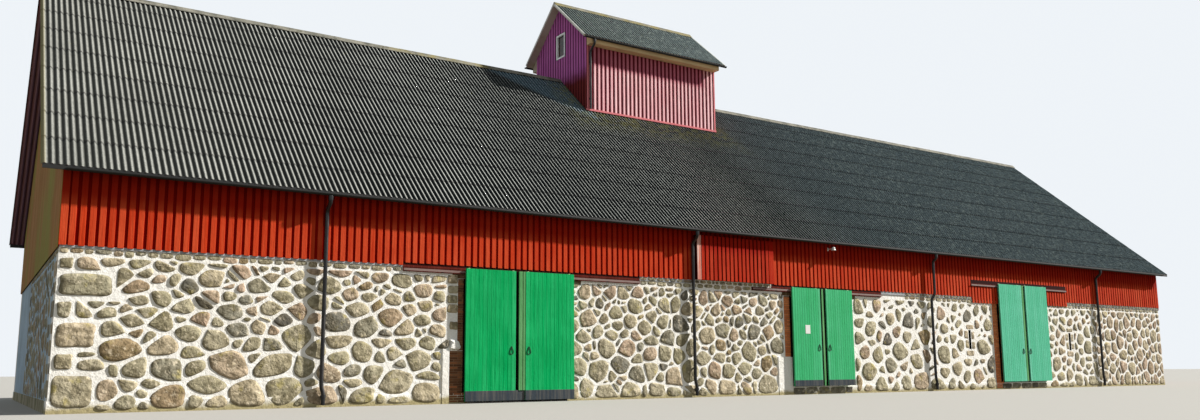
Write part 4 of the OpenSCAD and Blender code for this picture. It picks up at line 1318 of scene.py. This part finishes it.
claddingSettings = {
    "pitch": 0.1005,
    "board": 0.064,
    "proud": 0.0115,
    "corner": 0.075,
    "drop": 0.004,
    "edge": 0.0025,
    "unevenWidth": 0.0015,
    "unevenFace": 0.001,
    "shades": (0.3, 0.75),
    "shortest": 0.03,
}
gableCladding = dict(claddingSettings, pitch=0.13, board=0.124, proud=0.008)
cupolaCladding = dict(claddingSettings, pitch=0.0985, board=0.052, proud=0.009, corner=0.0, edge=0.009)
cupolaGableCladding = dict(claddingSettings, pitch=0.0985, board=0.062, proud=0.009, corner=0.0)


def addBoardRow(heap, side, face, a0, a1, footAt, topAt, settings, seed):
    # upright boards with a dark gap beside each; footAt and topAt give their ends, None leaves a board out
    rng = random.Random(seed)
    corner = settings["corner"]
    count = max(1, round((a1 - a0 - 2 * corner) / settings["pitch"]))
    pitch = (a1 - a0 - 2 * corner) / count
    margin = (pitch - settings["board"]) / 2
    start = a0 + corner
    spans = [(start + k * pitch + margin, start + (k + 1) * pitch - margin) for k in range(count)]
    if corner:
        spans = [(a0, a0 + corner)] + spans + [(a1 - corner, a1)]
    edge, unevenWidth, unevenFace = settings["edge"], settings["unevenWidth"], settings["unevenFace"]
    for left, right in spans:
        left += rng.uniform(-unevenWidth, unevenWidth)
        right += rng.uniform(-unevenWidth, unevenWidth)
        drop = rng.uniform(0, settings["drop"])
        tint = rng.uniform(*settings["shades"])
        front = face + settings["proud"] + rng.uniform(-unevenFace, unevenFace)
        columns = [left, left, left + edge, right - edge, right, right]
        feet = footAt((left + right) / 2)
        if feet is None:
            continue
        lows = [(feet(a) if callable(feet) else feet) - drop for a in columns]
        tops = [topAt(a) for a in columns]
        if min(t - b for t, b in zip(tops, lows)) > settings["shortest"]:
            addBoard(heap, side, left, right, lows, tops, face - boardLap, front, edge, tint)


eaveBoard = {"end": 12.284, "low": 2.69, "top": 2.747, "back": 4.0, "front": 4.014}


def closeEaves():
    # a dark board closes the eave behind each gutter and runs on to the verges
    for side, tag in ((frontSide, "front"), (backSide, "back")):
        heap = Heap()
        addBoard(heap, side, -eaveBoard["end"], eaveBoard["end"], eaveBoard["low"], eaveBoard["top"],
                 eaveBoard["back"], eaveBoard["front"])
        makePiece(heap, f"eave_board_{tag}", "gutterPaint")


hatchLow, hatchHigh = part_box("loft_hatch")
sideTop = roofTop(timberFace + claddingSettings["proud"]) - (sheetGap + 0.004) / math.cos(roofAngle)
door3Left, door3Right = leafEdge["door_3"]
# heights of the boards' feet, and how far beside door 3 they are longer
feetSettings = {
    "plain": stoneTop - 0.002,
    "front": 1.904,
    "frontLeft": 1.87,
    "overDoor3": 2.055,
    "leftOfDoor3": 1.785,
    "rightOfDoor3": 1.81,
    "besideDoor3": 0.87,
    "lap": 0.06,
    "besideHatch": 0.03,
    "overHatch": 0.004,
}


def frontFoot(a):
    lap, beside = feetSettings["lap"], feetSettings["besideDoor3"]
    if hatchLow.x - feetSettings["besideHatch"] < a < hatchHigh.x + feetSettings["besideHatch"]:
        return hatchHigh.z + feetSettings["overHatch"]
    if door3Left + lap < a < door3Right - lap:
        return feetSettings["overDoor3"]
    if door3Left - beside < a < door3Left + lap:
        return feetSettings["leftOfDoor3"]
    if door3Right - lap < a < door3Right + beside:
        return feetSettings["rightOfDoor3"]
    return feetSettings["front"] if a > railEnds["door_1"][0] else feetSettings["frontLeft"]


def plainFoot(a):
    return feetSettings["plain"]


def eaveTop(a):
    return sideTop


def gableTop(a):
    return roofTop(a) - (sheetGap + 0.001) / math.cos(roofAngle)


def clad(name, side, face, a0, a1, footAt, topAt, settings, seed, look):
    heap = Heap()
    addBoardRow(heap, side, face, a0, a1, footAt, topAt, settings, seed)
    makePiece(heap, name, look)


def cladWall(name, side, footAt, topAt, settings, seed, look):
    # a long wall or a gable, from corner to corner
    face, end = (timberFace, timberEnd) if side in (frontSide, backSide) else (timberEnd, timberFace)
    clad(name, side, face, -end, end, footAt, topAt, settings, seed, look)


closeEaves()
cladWall("front_boards", frontSide, frontFoot, eaveTop, claddingSettings, 41, "redBoards")
cladWall("back_boards", backSide, plainFoot, eaveTop, claddingSettings, 42, "redBoards")
cladWall("left_gable_boards", leftSide, plainFoot, gableTop, gableCladding, 43, "gableBoards")
cladWall("right_gable_boards", rightSide, plainFoot, gableTop, claddingSettings, 44, "sunnyRedBoards")

# a capping board over each rail, with a dark board between it and the feet of the cladding: painted shade
# under the boards' feet
railHood = {"low": 1.846, "split": 1.872, "top": 1.912, "proud": 0.006, "thick": 0.0035}
upperHood = {"low": 2.186, "top": 2.258, "proud": 0.0138}


def addRailHoods():
    wood, shade = Heap(), Heap()
    low, split, top = railHood["low"], railHood["split"], railHood["top"]
    for door in ("door_1", "door_2"):
        left, right = railEnds[door]
        left = max(left, hatchHigh.x + 0.004) if door == "door_2" else left
        addWallBoard(wood, left, right, low, split, railHood["proud"])
        addWallBoard(shade, left, right, split, top, railHood["thick"])
    left, right = railEnds["door_3"]
    addWallBoard(shade, left, right, upperHood["low"], upperHood["top"], upperHood["proud"])
    makePiece(wood, "rail_capping", "railBoards")
    makePiece(shade, "rail_shade_boards", "railShade")


hatchSettings = dict(claddingSettings, pitch=0.0877, board=0.062, proud=0.009, corner=0.0, drop=0.0)
hatchEnds = {"left": 0.082, "right": 0.112, "lap": 0.006}


def addHatchBoards():
    # narrow boards over the hatch between two wide ones; the left one has lost most of its paint
    face = -hatchLow.y
    front = face + hatchSettings["proud"]
    foot = hatchLow.z - hatchEnds["lap"]
    left = hatchLow.x + hatchEnds["left"]
    right = hatchHigh.x - hatchEnds["right"]
    clad("hatch_boards", frontSide, face, left, right, lambda a: foot, lambda a: hatchHigh.z,
         hatchSettings, 45, "hatchBoards")
    for name, a0, a1, look in (("left", hatchLow.x, left, "chippedBoard"),
                               ("right", right, hatchHigh.x, "hatchBoards")):
        heap = Heap()
        addBoard(heap, frontSide, a0, a1, foot, hatchHigh.z, face - boardLap, front)
        makePiece(heap, f"hatch_{name}_board", look)


addRailHoods()
addHatchBoards()
print("walls clad")


# Cupola

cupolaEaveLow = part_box("cupola_eaves")[0].z
windowLow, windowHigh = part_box("cupola_windows")
trimSettings = {
    "corner": 0.034,
    "proud": 0.013,
    "flashing": 0.036,
    "flashingProud": 0.016,
    "tail": 0.02,
}
cupolaFace = cupolaHigh.y
cupolaFoot = roofTop(cupolaFace) + 0.004
ribTop = cupolaEaveLow - 0.002
windowReach = windowHigh.y + 0.01
windowGap = 0.008


def addCupolaSide(side, tag, a0, a1, seed):
    # ribbed metal between two corner trims, with a flashing along the foot
    corner, tail = trimSettings["corner"], trimSettings["tail"]
    clad(f"cupola_{tag}_ribs", side, cupolaFace, a0 + corner, a1 - corner, lambda a: cupolaFoot,
         lambda a: ribTop, cupolaCladding, seed, "cupolaRibs")
    heap = Heap()
    for left, right in ((a0, a0 + corner), (a1 - corner, a1)):
        addBoard(heap, side, left, right, cupolaFoot, ribTop, cupolaFace - boardLap,
                 cupolaFace + trimSettings["proud"])
    addBoard(heap, side, a0 - tail, a1 + tail, cupolaFoot, cupolaFoot + trimSettings["flashing"],
             cupolaFace - boardLap, cupolaFace + trimSettings["flashingProud"])
    makePiece(heap, f"cupola_{tag}_trim", "cupolaTrim")


def cupolaGableFoot(a):
    return roofTop(a) + 0.006


def cupolaGableTop(a):
    return cupolaHeight - abs(a) * math.tan(cupolaAngle) - 0.026 / math.cos(cupolaAngle)


def footBeside(a):
    # boards beside the window reach from the roof to the verge
    return None if abs(a) < windowReach else cupolaGableFoot


def footOver(a):
    return windowHigh.z + windowGap if abs(a) < windowReach else None


def footUnder(a):
    return cupolaGableFoot if abs(a) < windowReach else None


def windowSill(a):
    return windowLow.z - windowGap


def addCupolaGable(side, tag, face, seed, look):
    heap = Heap()
    for feet, tops in ((footBeside, cupolaGableTop), (footOver, cupolaGableTop), (footUnder, windowSill)):
        addBoardRow(heap, side, face, -cupolaFace, cupolaFace, feet, tops, cupolaGableCladding, seed)
    makePiece(heap, f"cupola_{tag}_boards", look)


addCupolaSide(frontSide, "front", cupolaLow.x, cupolaHigh.x, 51)
addCupolaSide(backSide, "back", -cupolaHigh.x, -cupolaLow.x, 52)
addCupolaGable(leftSide, "left", -cupolaLow.x, 53, "cupolaGableBoards")
addCupolaGable(rightSide, "right", cupolaHigh.x, 54, "sunnyCupolaBoards")
print("cupola clad")


# Doors

leafSettings = {
    "boards": 12,
    "shades": (0.35, 0.65),
    "faded": 0.95,
    "slit": 0.0003,
    "back": 3.8795,
    "front": 3.909,
    "groove": 0.0025,
    "skirtProud": 0.003,
    "skirtLap": 0.006,
    "stripSkirtProud": 0.004,
    "strapWidth": 0.024,
    "strapHeight": 0.13,
    "strapTip": 0.008,
    "strapInset": 0.06,
    "strapBack": 3.8745,
    "railDrop": 0.038,
    "wheelRadius": 0.0223,
    "flange": 0.005,
    "axle": 0.005,
    "wheelBack": 3.859,
    "wheelFront": 3.871,
    "edgeThick": 0.012,
    "gapThick": 0.008,
    "gap": 0.006,
}
# stripParts: widths of dark gap, green strip and so on behind the gap between the leaves
doorSettings = {
    "door_1": {
        "width": 0.825, "strip": 0.125, "low": 0.028, "top": 1.865, "skirt": 0.140, "ring": 0.780,
        "look": "deepGreenBoards", "stripParts": (0.012, 0.058, 0.009), "stripThick": 0.026,
        "skirtMeets": True, "darkEdge": 0.036, "inset": (0.102, 0.056)},
    "door_2": {
        "width": 0.690, "strip": 0.150, "low": 0.146, "top": 1.872, "skirt": 0.105, "ring": 0.870,
        "look": "midGreenBoards", "stripParts": (0.05, 0.045), "stripThick": 0.012,
        "skirtMeets": False, "darkEdge": 0, "inset": (0.058, 0.058)},
    "door_3": {
        "width": 0.800, "strip": 0.140, "low": 0.160, "top": 2.205, "skirt": 0, "ring": 0.845,
        "look": "paleGreenBoards", "stripParts": (0.03, 0.07), "stripThick": 0.012,
        "skirtMeets": False, "darkEdge": 0, "inset": (0.06, 0.06)},
}
ringSettings = {
    "plate": 0.008,
    "plateDepth": 0.006,
    "hub": 0.006,
    "hubReach": 0.011,
    "wire": 0.004,
    "half": 0.033,
    "drop": 0.104,
    "proud": 0.005,
    "steps": 24,
}


def addLeafBoards(body, plan, x0, width, fadedBoard):
    rng = random.Random(body)
    boards = Heap()
    step = width / leafSettings["boards"]
    for k in range(leafSettings["boards"]):
        tint = leafSettings["faded"] if k == fadedBoard else rng.uniform(*leafSettings["shades"])
        left = x0 + k * step + leafSettings["slit"]
        right = x0 + (k + 1) * step - leafSettings["slit"]
        addBoard(boards, frontSide, left, right, plan["low"], plan["top"], leafSettings["back"],
                 leafSettings["front"], leafSettings["groove"], tint)
    piece = makePiece(boards, f"{body}_boards", plan["look"], body)
    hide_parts(f"{body}_leaf")


def addDarkEdge(body, plan, x1):
    # a leaf's shadowed edge, beside the meeting strip
    back = leafSettings["back"]
    shade = Heap()
    addBoard(shade, frontSide, x1 - plan["darkEdge"], x1, plan["low"], plan["top"], back,
             back + leafSettings["edgeThick"])
    makePiece(shade, f"{body}_gap", "meetingGap", body)


def addMeetingStrip(body, plan, x0):
    # the strip behind the gap: shadowed wood and green boards in turn, up to the right leaf
    edges = [x0 - plan["strip"] + leafSettings["gap"]]
    for width in plan["stripParts"]:
        edges.append(edges[-1] + width)
    edges.append(x0)
    back = leafSettings["back"]
    low = plan["low"] + (plan["skirt"] if plan["skirtMeets"] else 0)
    shade, strip = Heap(), Heap()
    for k, (left, right) in enumerate(zip(edges, edges[1:])):
        if k % 2:
            addBoard(strip, frontSide, left, right, low, plan["top"], back, back + plan["stripThick"])
        else:
            addBoard(shade, frontSide, left, right, plan["low"], plan["top"], back,
                     back + leafSettings["gapThick"])
    makePiece(shade, f"{body}_gap", "meetingGap", body)
    makePiece(strip, f"{body}_strip", "meetingStrip", body)


def addSkirt(body, plan, x0, x1, meets):
    skirt = Heap()
    low, top = plan["low"], plan["low"] + plan["skirt"]
    front, lap = leafSettings["front"], leafSettings["skirtLap"]
    addBlock(skirt, (x0, -front - leafSettings["skirtProud"], low), (x1, -front + lap, top))
    if meets:
        strip = x0 - plan["strip"] + leafSettings["gap"]
        stripFront = leafSettings["back"] + leafSettings["edgeThick"]
        proud = leafSettings["stripSkirtProud"]
        addBlock(skirt, (strip, -stripFront - proud, low), (x0, -stripFront + lap, top))
    makePiece(skirt, f"{body}_skirt", "skirtBoards", body)


def addHangers(body, plan, x0, x1):
    # a strap over each flanged wheel, which runs on the rail
    gear = Heap()
    back, wheelBack, top = leafSettings["back"], leafSettings["wheelBack"], plan["top"]
    half = leafSettings["strapWidth"] / 2
    radius, axle = leafSettings["wheelRadius"], leafSettings["axle"]
    rim = radius + leafSettings["flange"]
    wide = leafSettings["wheelFront"] - wheelBack
    for x in (x0 + leafSettings["strapInset"], x1 - leafSettings["strapInset"]):
        addBlock(gear, (x - half, -back, top - leafSettings["strapHeight"]),
                 (x + half, -leafSettings["strapBack"], top + leafSettings["strapTip"]), 0.001)
        hub = Vector((x, -wheelBack, top - leafSettings["railDrop"] + radius))
        addDisc(gear, hub, -yAxis, ((0, rim), (wide * 0.2, radius), (wide * 0.8, radius), (wide, rim)))
        addDisc(gear, hub, -yAxis, ((wide, axle), (back - wheelBack, axle)), sides=12)
    makePiece(gear, f"{body}_hangers", "tipSteel", body)


def addRing(body, x, z):
    # a round plate with a drop-shaped ring
    heap = Heap()
    centre = Vector((x, -leafSettings["front"], z))
    plate, depth, hub = ringSettings["plate"], ringSettings["plateDepth"], ringSettings["hub"]
    addDisc(heap, centre, -yAxis, ((0, plate), (depth - 0.002, plate), (depth, plate * 0.8)))
    addDisc(heap, centre, -yAxis, ((depth, hub), (ringSettings["hubReach"], hub - 0.0005)))
    path = []
    for k in range(ringSettings["steps"]):
        angle = 2 * math.pi * (k + 0.5) / ringSettings["steps"]
        low = 0.5 - 0.5 * math.cos(angle)
        across = ringSettings["half"] * math.sin(angle) * (0.3 + 0.9 * low)
        path.append(centre + Vector((across, -ringSettings["proud"], -ringSettings["drop"] * low)))
    addTube(heap, path, ringSettings["wire"], sides=8, closed=True)
    makePiece(heap, f"{body}_ring", "ringPaint", body)


def hangDoor(door, sideName):
    plan = doorSettings[door]
    body = f"{door}_{sideName}"
    left = sideName == "left"
    x0 = leafEdge[door][0] if left else leafEdge[door][1] - plan["width"]
    x1 = x0 + plan["width"]
    darkEdge = plan["darkEdge"] if left else 0
    addLeafBoards(body, plan, x0, plan["width"] - darkEdge, leafSettings["boards"] - 1 if left else 0)
    if darkEdge:
        addDarkEdge(body, plan, x1)
    if not left:
        addMeetingStrip(body, plan, x0)
    if plan["skirt"]:
        addSkirt(body, plan, x0, x1, plan["skirtMeets"] and not left)
    addHangers(body, plan, x0, x1)
    insetLeft, insetRight = plan["inset"]
    addRing(body, x1 - insetLeft if left else x0 + insetRight, plan["ring"])


noticeSettings = {"fromEdge": 0.292, "width": 0.118, "low": 1.062, "high": 1.214, "proud": 0.003}


def addNotice():
    # a bare white plate on door 2
    heap = Heap()
    left = leafEdge["door_2"][0] + noticeSettings["fromEdge"]
    face = -leafSettings["front"]
    addBlock(heap, (left, face - noticeSettings["proud"], noticeSettings["low"]),
             (left + noticeSettings["width"], face + 0.001, noticeSettings["high"]), 0.001)
    makePiece(heap, "door_2_plate", "lampEnamel", "door_2_left")


for door in doorNames:
    for sideName in ("left", "right"):
        hangDoor(door, sideName)
addNotice()
print("doors hung")


# Brick piers left of the doors, with lips of plaster beside the first two

brickSettings = {
    "length": 0.119,
    "height": 0.0265,
    "joint": 0.006,
    "proud": 0.002,
    "uneven": 0.0008,
    "depth": 0.02,
    "edge": 0.0015,
    "narrowest": 0.02,
    "bed": 0.0006,
    "bedEdge": 0.0003,
    "bedLap": 0.01,
}
# stretches of brick: (left, right, low, top); plaster: (left, right, top); shades of the bricks: dark at
# door 1, painted shade of its leaf, and bright at doors 2 and 3, painted sunlight where their leaves'
# shadows fall
pierSettings = {
    "door_1": {
        "bricks": ((-7.28, -7.003, 0.02, 0.72), (-7.165, -7.003, 0.725, 1.722)),
        "plaster": (-7.39, -7.283, 0.74),
        "shades": (0.0, 0.45),
    },
    "door_2": {
        "bricks": ((-0.905, -0.69, 0.66, 1.722),),
        "plaster": (-1.09, -0.745, 0.65),
        "shades": (0.6, 1.0),
    },
    "door_3": {
        "bricks": ((5.145, 5.395, 0.03, 1.845),),
        "shades": (0.6, 1.0),
    },
}
# the plaster's lips stand this far out and are rounded as much
plasterProud = 0.006
shadowEdgeBoard = {
    "width": 0.055,
    "proud": 0.004,
    "low": 0.15,
    "pastLeaf": 0.004,
}
# outlines, and how far the stones stand out
pierStones = {
    "boulder": [(-7.3, 0.74), (-7.16, 0.728), (-7.105, 0.75), (-7.13, 0.83), (-7.19, 0.885), (-7.29, 0.885),
                (-7.27, 0.82)],
    "boulderProud": (0.034, 0.036),
    "bare": [(-7.475, 0.745), (-7.31, 0.745), (-7.275, 0.82), (-7.295, 0.88), (-7.34, 0.87), (-7.41, 0.815)],
    "bareProud": (0.026, 0.028),
}
sillSettings = {
    "width": (0.24, 0.42),
    "narrowest": 0.1,
    "joint": 0.004,
    "proud": (0.006, 0.009),
    "shades": (0.0, 0.12),
}


def layBricks():
    heap, bed = Heap(), Heap()
    rng = random.Random(61)
    whole, height, joint = brickSettings["length"], brickSettings["height"], brickSettings["joint"]
    stretches = [(*stretch, plan["shades"]) for plan in pierSettings.values() for stretch in plan["bricks"]]
    for left, right, low, top, shades in stretches:
        addBoard(bed, frontSide, left, right, max(low, footingTop), top, stoneFace - brickSettings["bedLap"],
                 stoneFace + brickSettings["bed"], brickSettings["bedEdge"])
        z = low
        odd = False
        while z + height < top:
            x = left + joint / 2
            first = (whole - joint) / 2 if odd else whole
            face = stoneFace if z > footingTop else footingFace
            while x < right - brickSettings["narrowest"]:
                x1 = min(x + first, right - joint / 2)
                out = face + brickSettings["proud"]
                out += rng.uniform(-brickSettings["uneven"], brickSettings["uneven"])
                addBlock(heap, (x, -out, z), (x1, -face + brickSettings["depth"], z + height),
                         brickSettings["edge"], rng.uniform(*shades))
                x = x1 + joint
                first = whole
            z += height + joint
            odd = not odd
    makePiece(heap, "pier_bricks", "brick")
    makePiece(bed, "pier_bed", "brickMortar")


def addShadowEdgeBoards():
    # a black board down the left edge of each doorway: painted shadow in the gap behind the leaf
    heap = Heap()
    for door, plan in pierSettings.items():
        left = leafEdge[door][0] - shadowEdgeBoard["pastLeaf"]
        top = max(stretch[3] for stretch in plan["bricks"])
        addBoard(heap, frontSide, left, left + shadowEdgeBoard["width"], shadowEdgeBoard["low"], top,
                 stoneFace - brickSettings["bedLap"], stoneFace + shadowEdgeBoard["proud"])
    makePiece(heap, "shadow_edge_boards", "meetingGap")


def addPlaster():
    # lips of plaster; over the first one a whitewashed boulder, and a bare stone left of it
    heap = Heap()
    for plan in pierSettings.values():
        if "plaster" in plan:
            left, right, top = plan["plaster"]
            addBoard(heap, frontSide, left, right, 0.0, top, stoneFace - brickSettings["bedLap"],
                     footingFace + plasterProud, plasterProud)
    rng = random.Random(62)
    boulder = roundOff(pierStones["boulder"], rng)
    addStone(heap, frontSide, lambda b: stoneFace, boulder, rng, pierStones["boulderProud"], 0.5)
    makePiece(heap, "pier_plaster", "limeMortar")
    heap = Heap()
    bare = roundOff(pierStones["bare"], rng)
    addStone(heap, frontSide, lambda b: stoneFace, bare, rng, pierStones["bareProud"], 0.02)
    makePiece(heap, "pier_stone", "fieldstone")


def laySills():
    # squared stones in the footing under doors 2 and 3, dark: painted shadow under the leaves
    heap = Heap()
    rng = random.Random(63)
    for door in ("door_2", "door_3"):
        x, end = leafEdge[door]
        while x < end - sillSettings["narrowest"]:
            x1 = min(x + rng.uniform(*sillSettings["width"]), end)
            joint = sillSettings["joint"]
            tint = rng.uniform(*sillSettings["shades"])
            addBlockStone(heap, frontSide, footedBase, (x, x1, 0.0, footingTop - joint), rng, joint,
                          sillSettings["proud"], tint)
            x = x1
    makePiece(heap, "door_sills", "fieldstone")


layBricks()
addShadowEdgeBoards()
addPlaster()
laySills()
print("piers built")


# Downpipes

gutterLow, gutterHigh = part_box("gutters")
pipeSettings = {
    "places": (-9.06, -2.98, 3.10, 9.18),
    "jogged": 3.10,
    "wallGap": 0.02,
    "kneeDrop": 0.7,
    "gutterRadius": 0.03,
    "bend": 0.05,
    "clipHeight": 0.02,
    "clipProud": 0.0035,
    "clipHalf": 0.012,
    "clipBuried": 0.014,
    "socketDrop": 0.7,
    "socketLength": 0.6,
    "cupolaInset": 0.06,
    "collar": 0.008,
    "collarHeight": 0.035,
    "collarDrop": 0.05,
    "footFrom": 0.26,
    "footTo": 0.17,
    "footShift": 0.03,
}
wallPipe = {
    "radius": 0.0265,
    "outlet": 0.085,
    "gutterY": gutterHigh.y - pipeSettings["gutterRadius"],
    "gutterZ": gutterLow.z + pipeSettings["gutterRadius"],
    "wallY": timberFace,
    "low": 0.03,
    "clips": (0.46, 1.62),
    "foot": True,
    "jog": None,
}
# one pipe at the front stands further out above the stone: aside, outwards, from and to
joggedPipe = dict(wallPipe, jog=(0.05, 0.045, 1.90, 1.80))
cupolaEave = cupolaHeight - cupolaRun * math.tan(cupolaAngle) - cupolaRoofThick / math.cos(cupolaAngle)
cupolaPipe = dict(
    wallPipe,
    radius=0.021,
    gutterY=cupolaRun + pipeSettings["gutterRadius"] - 0.008,
    gutterZ=cupolaEave - 0.012,
    wallY=cupolaFace,
    low=roofTop(cupolaFace) + 0.03,
    clips=(roofTop(cupolaFace) + 0.23, cupolaEave - 0.47),
    foot=False,
)


def pipePath(plan, x, pipeY):
    # corners of a pipe from the gutter down: along the wall, out from it, up
    gutterY = plan["gutterY"]
    top = plan["gutterZ"] - pipeSettings["gutterRadius"]
    neck = top - plan["outlet"]
    knee = neck - (gutterY - pipeY) * pipeSettings["kneeDrop"]
    if plan["jog"]:
        aside, outwards, jogFrom, jogTo = plan["jog"]
        upperX, upperY = x + aside, pipeY + outwards
        corners = [(upperX, gutterY, top + 0.004), (upperX, gutterY, neck),
                   (upperX, upperY, knee + outwards), (upperX, upperY, jogFrom), (x, pipeY, jogTo)]
    else:
        corners = [(x, gutterY, top + 0.004), (x, gutterY, neck), (x, pipeY, knee)]
    if plan["foot"]:
        shifted = x + pipeSettings["footShift"]
        corners += [(x, pipeY, pipeSettings["footFrom"]), (shifted, pipeY, pipeSettings["footTo"]),
                    (shifted, pipeY, plan["low"])]
    else:
        corners.append((x, pipeY, plan["low"]))
    return corners


def addPipe(heap, turn, x, plan):
    # turn is 1 at the front and -1 at the back
    radius = plan["radius"]
    pipeY = plan["wallY"] + pipeSettings["wallGap"] + radius
    corners = pipePath(plan, x, pipeY)
    path = roundedPath([Vector((a, -b * turn, c)) for a, b, c in corners], pipeSettings["bend"])
    addTube(heap, path, radius)
    gutterX, gutterY, top = corners[0]
    socket = top - plan["outlet"] * pipeSettings["socketDrop"]
    length = plan["outlet"] * pipeSettings["socketLength"]
    addDisc(heap, (gutterX, -gutterY * turn, socket), zAxis, ((0, radius + 0.004), (length, radius + 0.007)))
    if plan["foot"]:
        footX = corners[-1][0]
        collar = radius + pipeSettings["collar"]
        foot = (footX, -pipeY * turn, pipeSettings["footTo"] - pipeSettings["collarDrop"])
        addDisc(heap, foot, zAxis, ((0, collar), (pipeSettings["collarHeight"], collar)))
    for z in plan["clips"]:
        ring = radius + pipeSettings["clipProud"]
        high, half = pipeSettings["clipHeight"], pipeSettings["clipHalf"]
        addDisc(heap, (x, -pipeY * turn, z), zAxis, ((0, ring), (high, ring)))
        inWall = plan["wallY"] - pipeSettings["clipBuried"]
        arms = sorted((-turn * (pipeY - radius), -turn * inWall))
        addBlock(heap, (x - half, arms[0], z), (x + half, arms[1], z + high), 0.001)


def addPipes():
    heap = Heap()
    for x in pipeSettings["places"]:
        addPipe(heap, 1, x, joggedPipe if x == pipeSettings["jogged"] else wallPipe)
        addPipe(heap, -1, x, wallPipe)
    addPipe(heap, 1, cupolaLow.x + pipeSettings["cupolaInset"], cupolaPipe)
    piece = makePiece(heap, "round_downpipes", "pipePaint")
    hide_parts("downpipes")


addPipes()
print("pipes fitted")


# Camera, light and floor

photo = {
    "width": 1200,
    "focal": 951.04,
    "place": (-12.873, -15.951, 0.435),
    "turn": -0.5888,
    "rise": 0.1464,
    "roll": -0.0063,
    "shift": 0.0171,
}


def addCamera():
    turn, rise, roll = photo["turn"], photo["rise"], photo["roll"]
    ahead = Vector((-math.sin(turn) * math.cos(rise), math.cos(turn) * math.cos(rise), math.sin(rise)))
    level = Vector((math.cos(turn), math.sin(turn), 0))
    upright = level.cross(ahead)
    right = level * math.cos(roll) + upright * math.sin(roll)
    up = upright * math.cos(roll) - level * math.sin(roll)
    data = bpy.data.cameras.new("camera")
    data.sensor_width = 36
    data.lens = photo["focal"] / photo["width"] * data.sensor_width
    data.shift_y = photo["shift"]
    data.clip_end = 500
    camera = bpy.data.objects.new("camera", data)
    turned = Matrix((right, up, -ahead)).transposed().to_4x4()
    camera.matrix_world = Matrix.Translation(photo["place"]) @ turned
    bpy.context.scene.collection.objects.link(camera)
    bpy.context.scene.camera = camera


lighting = {
    "towardsSun": (3.0, -1.0, 2.05),
    "sunStrength": 8.5,
    "sunSpread": 0.03,
    "sunColour": (1.0, 0.97, 0.92),
    "skyStrength": 0.42,
    "skyColour": (0.88, 0.95, 1.0, 1.0),
    "backdrop": (0.86, 0.90, 0.94, 1.0),
    "floor": tone(158, 156, 151),
    "floorBounce": tone(104, 98, 84),
    "floorReach": 220,
}


def addSun():
    data = bpy.data.lights.new("sun", "SUN")
    data.energy = lighting["sunStrength"]
    data.angle = lighting["sunSpread"]
    data.color = lighting["sunColour"]
    sun = bpy.data.objects.new("sun", data)
    sun.rotation_euler = Vector(lighting["towardsSun"]).to_track_quat("Z", "Y").to_euler()
    bpy.context.scene.collection.objects.link(sun)


def addSky():
    world = bpy.data.worlds.new("sky")
    world.use_nodes = True
    tree = world.node_tree
    light = tree.nodes["Background"]
    light.inputs["Color"].default_value = lighting["skyColour"]
    light.inputs["Strength"].default_value = lighting["skyStrength"]
    seen = tree.nodes.new("ShaderNodeBackground")
    seen.inputs["Color"].default_value = lighting["backdrop"]
    path = tree.nodes.new("ShaderNodeLightPath")
    either = tree.nodes.new("ShaderNodeMath")
    either.operation = "MAXIMUM"
    tree.links.new(path.outputs["Is Camera Ray"], either.inputs[0])
    tree.links.new(path.outputs["Is Glossy Ray"], either.inputs[1])
    both = tree.nodes.new("ShaderNodeMixShader")
    tree.links.new(either.outputs[0], both.inputs[0])
    tree.links.new(light.outputs[0], both.inputs[1])
    tree.links.new(seen.outputs[0], both.inputs[2])
    tree.links.new(both.outputs[0], tree.nodes["World Output"].inputs["Surface"])
    bpy.context.scene.world = world


def addFloor():
    reach = lighting["floorReach"]
    corners = [(-reach, -reach, 0), (reach, -reach, 0), (reach, reach, 0), (-reach, reach, 0)]
    f = Finish("floorFinish", roughness=0.95, specular=0.1)
    seen = f.put("LightPath").outputs["Is Camera Ray"]
    f.done(f.mix(seen, lighting["floorBounce"], lighting["floor"]))
    mesh = bpy.data.meshes.new("floor")
    mesh.from_pydata(corners, [], [(0, 1, 2, 3)])
    mesh.materials.append(f.material)
    floor = bpy.data.objects.new("floor", mesh)
    bpy.context.scene.collection.objects.link(floor)


addCamera()
addSun()
addSky()
addFloor()
bpy.context.scene.view_settings.view_transform = "Standard"
print("camera, light and floor set")
